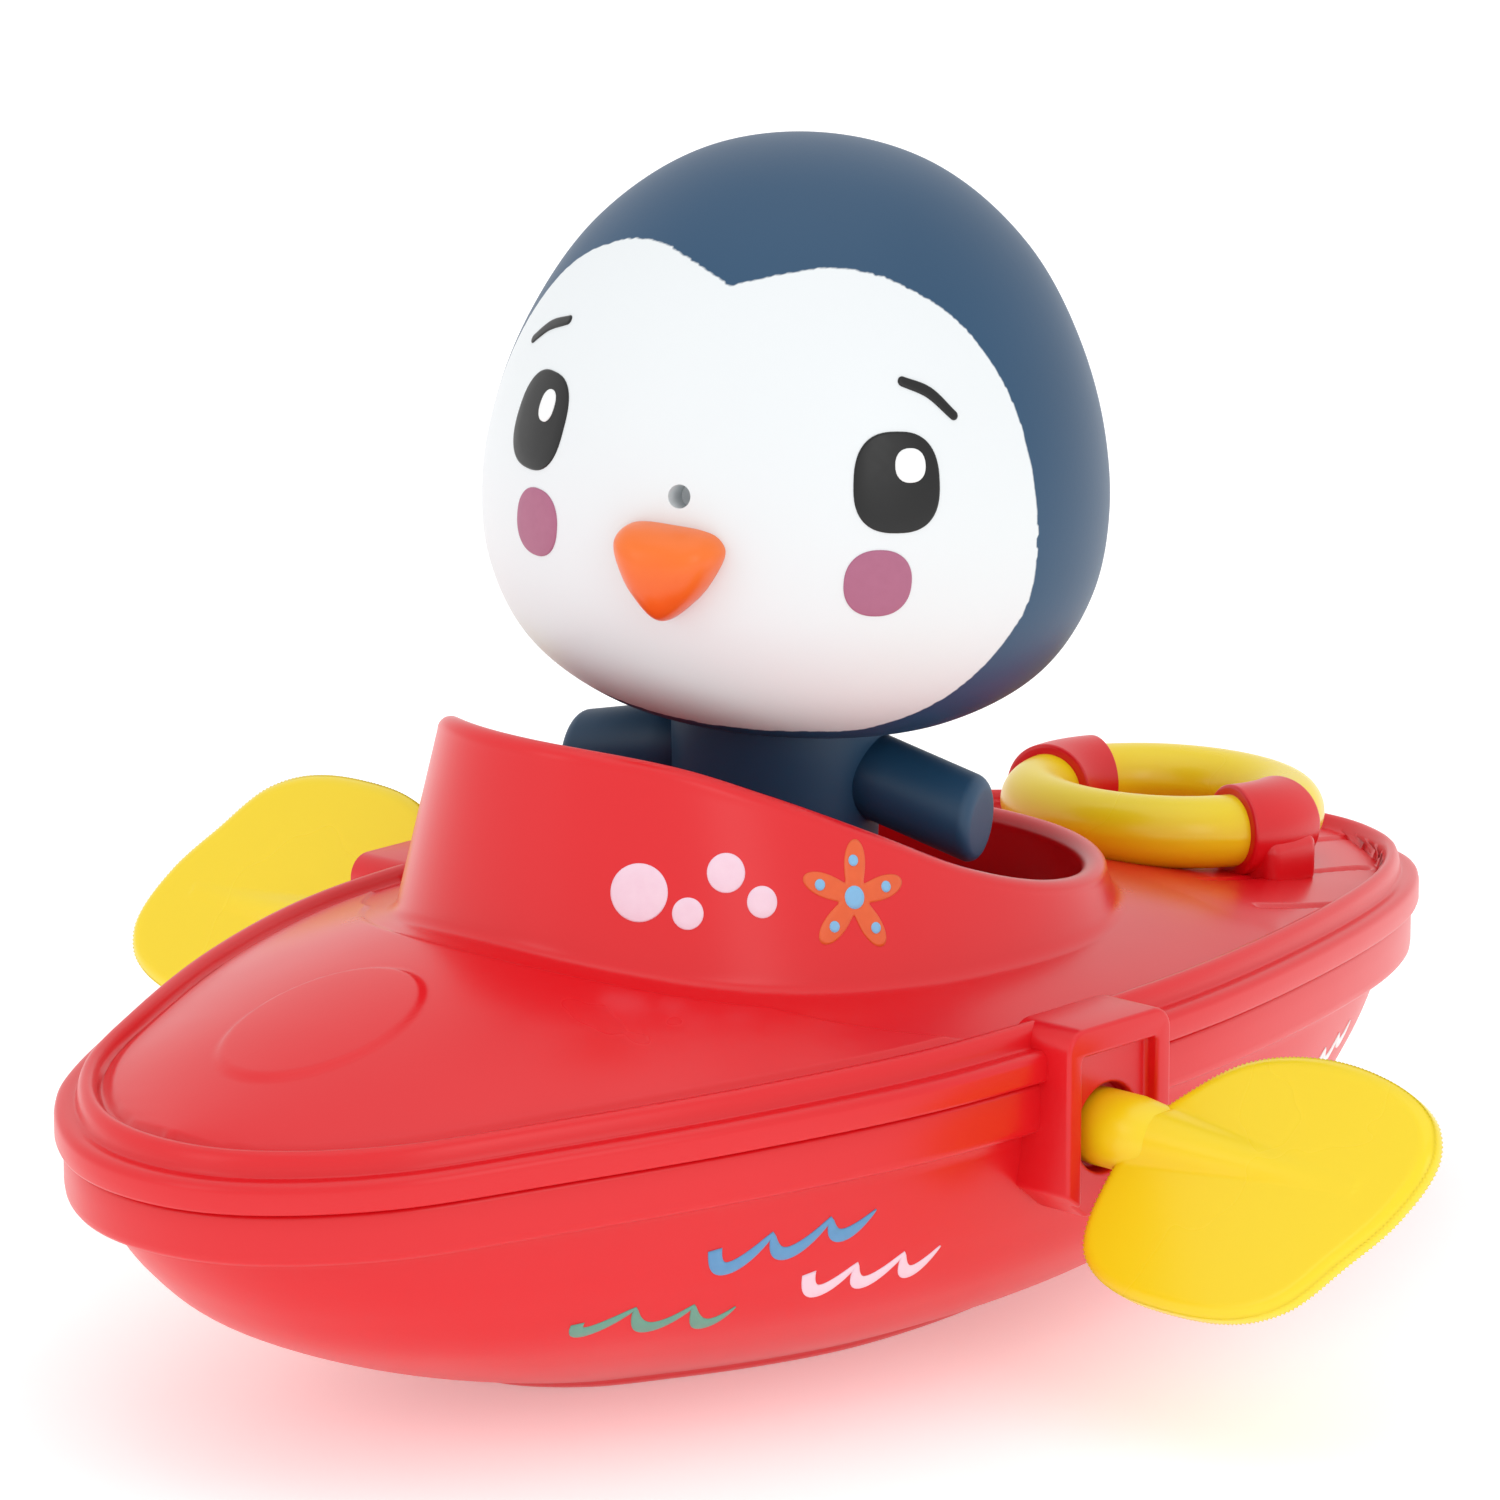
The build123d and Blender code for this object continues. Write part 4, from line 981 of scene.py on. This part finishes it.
def squiggle(name, points, material, thick=1.5):
    line = wave_line(points, thick)
    run = np.gradient(line[:, :2], axis=0)
    run /= np.linalg.norm(run, axis=1)[:, None]
    side = np.column_stack([-run[:, 1], run[:, 0]]) * line[:, 2:3] / 2
    rows = []
    for share, rise in ((-1.0, -0.25), (-1.0, 0.05), (-0.85, 0.12), (0.0, 0.13), (0.85, 0.12), (1.0, 0.05),
                        (1.0, -0.25)):
        rows.append(on_side(hull_tree, line[:, :2] + side * share, rise))
    count = len(line)
    faces = []
    for r in range(len(rows)):
        s = (r + 1) % len(rows)
        for i in range(count - 1):
            faces.append((r * count + i, r * count + i + 1, s * count + i + 1, s * count + i))
    faces += [tuple(r * count for r in range(len(rows))),
              tuple(r * count + count - 1 for r in range(len(rows)))[::-1]]
    piece = make_piece(name, np.vstack(rows), faces, material)
    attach(piece, "boat")


squiggle("wave_blue", [(51.5, 24.0), (49.5, 21.5), (45.3, 25.0), (43.1, 22.3), (38.7, 25.7), (37.0, 23.4),
                       (33.3, 25.8)], blue_ink)
squiggle("wave_pink", [(39.5, 19.2), (37.4, 16.6), (33.9, 19.4), (32.0, 16.7), (28.1, 19.6), (26.3, 16.9),
                       (23.2, 19.5)], pink_ink)
squiggle("wave_stern", [(-50.0, 22.6), (-51.5, 20.8), (-54.6, 23.2), (-56.2, 21.2), (-59.4, 23.6), (-60.8, 22.0),
                        (-63.6, 24.0)], white_ink, 1.2)
squiggle("wave_teal", [(62.9, 16.4), (61.4, 15.2), (57.7, 17.7), (55.0, 14.8), (51.4, 17.1), (49.0, 14.3),
                       (46.5, 16.2)], teal_ink, 1.3)


# ---- Parts inside the boat ----
# The wind-up motor, its axle, screws and seals keep the CAD's own meshes; each gets the finish of what it is
# really made of.
def turned_metal(name, tone, roughness):
    """Turned or rolled metal: fine streaks round the part that stretch the highlights."""
    material, tree, skin, place = start_material(name)
    stretch = add(tree, "ShaderNodeMapping", {"Scale": (1.0, 12.0, 1.0)}, {"Vector": place})
    streak = add(tree, "ShaderNodeTexNoise", {"Scale": 1 / (1.0 * MM), "Detail": 3.0},
                 {"Vector": stretch.outputs["Vector"]})
    gloss = add(tree, "ShaderNodeMapRange", {"To Min": roughness - 0.08, "To Max": roughness + 0.1},
                {"Value": streak.outputs["Fac"]})
    tree.links.new(gloss.outputs["Result"], skin.inputs["Roughness"])
    skin.inputs["Base Color"].default_value = colour(tone)
    skin.inputs["Metallic"].default_value = 1.0
    return material


inner_finish = {
    "steel": (turned_metal("steel_turned", "#C4C6C8", 0.3),
              ("paddle_axle", "intermediate_shaft", "spring_arbor", "motor_screws", "hull_screws")),
    "spring_steel": (turned_metal("spring_steel_rolled", "#8F9398", 0.35), ("mainspring",)),
    "white_acetal": (moulded_plastic("white_acetal_moulded", "#EDEDE8", "#E4E4DE", 0.4, 0.6, 0.02, 0.1),
                     ("intermediate_gear", "spring_drum")),
    "brass": (turned_metal("brass_turned", "#C8A04A", 0.28),
              ("output_pinion", "axle_bush_port", "axle_bush_starboard")),
    "grey_plastic": (moulded_plastic("grey_abs_moulded", "#A3A7AA", "#999DA1", 0.45, 0.6, 0.03),
                     ("motor_case", "motor_cover")),
    "black_rubber": (moulded_plastic("black_nitrile_moulded", "#1E1E1F", "#18181A", 0.7, 0.4, 0.04),
                     ("hull_gasket", "axle_seal_port", "axle_seal_starboard")),
}
for slot, (material, nodes) in inner_finish.items():
    for node in nodes:
        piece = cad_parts[node]
        piece.data.materials.clear()
        piece.data.materials.append(material)


# ---- Studio ----
# White sweep under broad soft light: a large softbox overhead, one each side, and an even white surround, seen
# by a long lens from above the port bow.
floor = make_piece("studio_floor", [(-6000, -6000, 0), (6000, -6000, 0), (6000, 6000, 0), (-6000, 6000, 0)],
                   [(0, 1, 2, 3)], None, smooth=False)
floor_paint, tree, skin, place = start_material("white_sweep_paper")
fibre = add(tree, "ShaderNodeTexNoise", {"Scale": 200.0, "Detail": 2.0}, {"Vector": place})
shade = add(tree, "ShaderNodeMix", {"data_type": "RGBA", 6: colour("#FAFAFA"), 7: colour("#F7F7F7")},
            {0: fibre.outputs["Fac"]})
tree.links.new(shade.outputs[2], skin.inputs["Base Color"])
skin.inputs["Roughness"].default_value = 0.8
skin.inputs["Emission Color"].default_value = (1.0, 1.0, 1.0, 1.0)
skin.inputs["Emission Strength"].default_value = 0.3
floor.data.materials.append(floor_paint)

world = bpy.data.worlds.new("studio")
world.use_nodes = True
world.node_tree.nodes["Background"].inputs["Color"].default_value = (1.0, 1.0, 1.0, 1.0)
world.node_tree.nodes["Background"].inputs["Strength"].default_value = 0.96
bpy.context.scene.world = world
bpy.context.scene.view_settings.view_transform = "Standard"


def softbox(name, place, aim, width, height, power):
    lamp = bpy.data.lights.new(name, "AREA")
    lamp.shape = "RECTANGLE"
    lamp.size, lamp.size_y, lamp.energy = width, height, power
    box = bpy.data.objects.new(name, lamp)
    box.location = place
    box.rotation_mode = "QUATERNION"
    box.rotation_quaternion = (Vector(aim) - Vector(place)).to_track_quat("-Z", "Y")
    bpy.context.scene.collection.objects.link(box)


softbox("softbox_top", (0.05, 0.1, 1.0), (0, 0, 0.04), 0.9, 0.9, 0.9)
softbox("softbox_port", (0.35, 1.1, 0.55), (0, 0, 0.05), 0.35, 0.6, 0.9)
softbox("softbox_bow", (1.2, -0.35, 0.6), (0, 0, 0.05), 0.35, 0.6, 0.6)

AZIMUTH, ELEVATION, DISTANCE = math.radians(133.08), math.radians(14.14), 1.03021
back = Vector((math.sin(AZIMUTH) * math.cos(ELEVATION), -math.cos(AZIMUTH) * math.cos(ELEVATION),
               math.sin(ELEVATION)))
facing = (-back).to_track_quat("-Z", "Y")
right = facing @ Vector((1, 0, 0))
above = facing @ Vector((0, 1, 0))
lens = bpy.data.cameras.new("camera")
lens.lens = 220.06
lens.sensor_width = 36.0
lens.clip_start, lens.clip_end = 0.05, 30.0
camera = bpy.data.objects.new("camera", lens)
camera.rotation_mode = "QUATERNION"
camera.rotation_quaternion = facing
camera.location = Vector((0, 0, SEAM * MM)) + right * -0.00341 + above * 0.02475 + back * DISTANCE
bpy.context.scene.collection.objects.link(camera)
bpy.context.scene.camera = camera
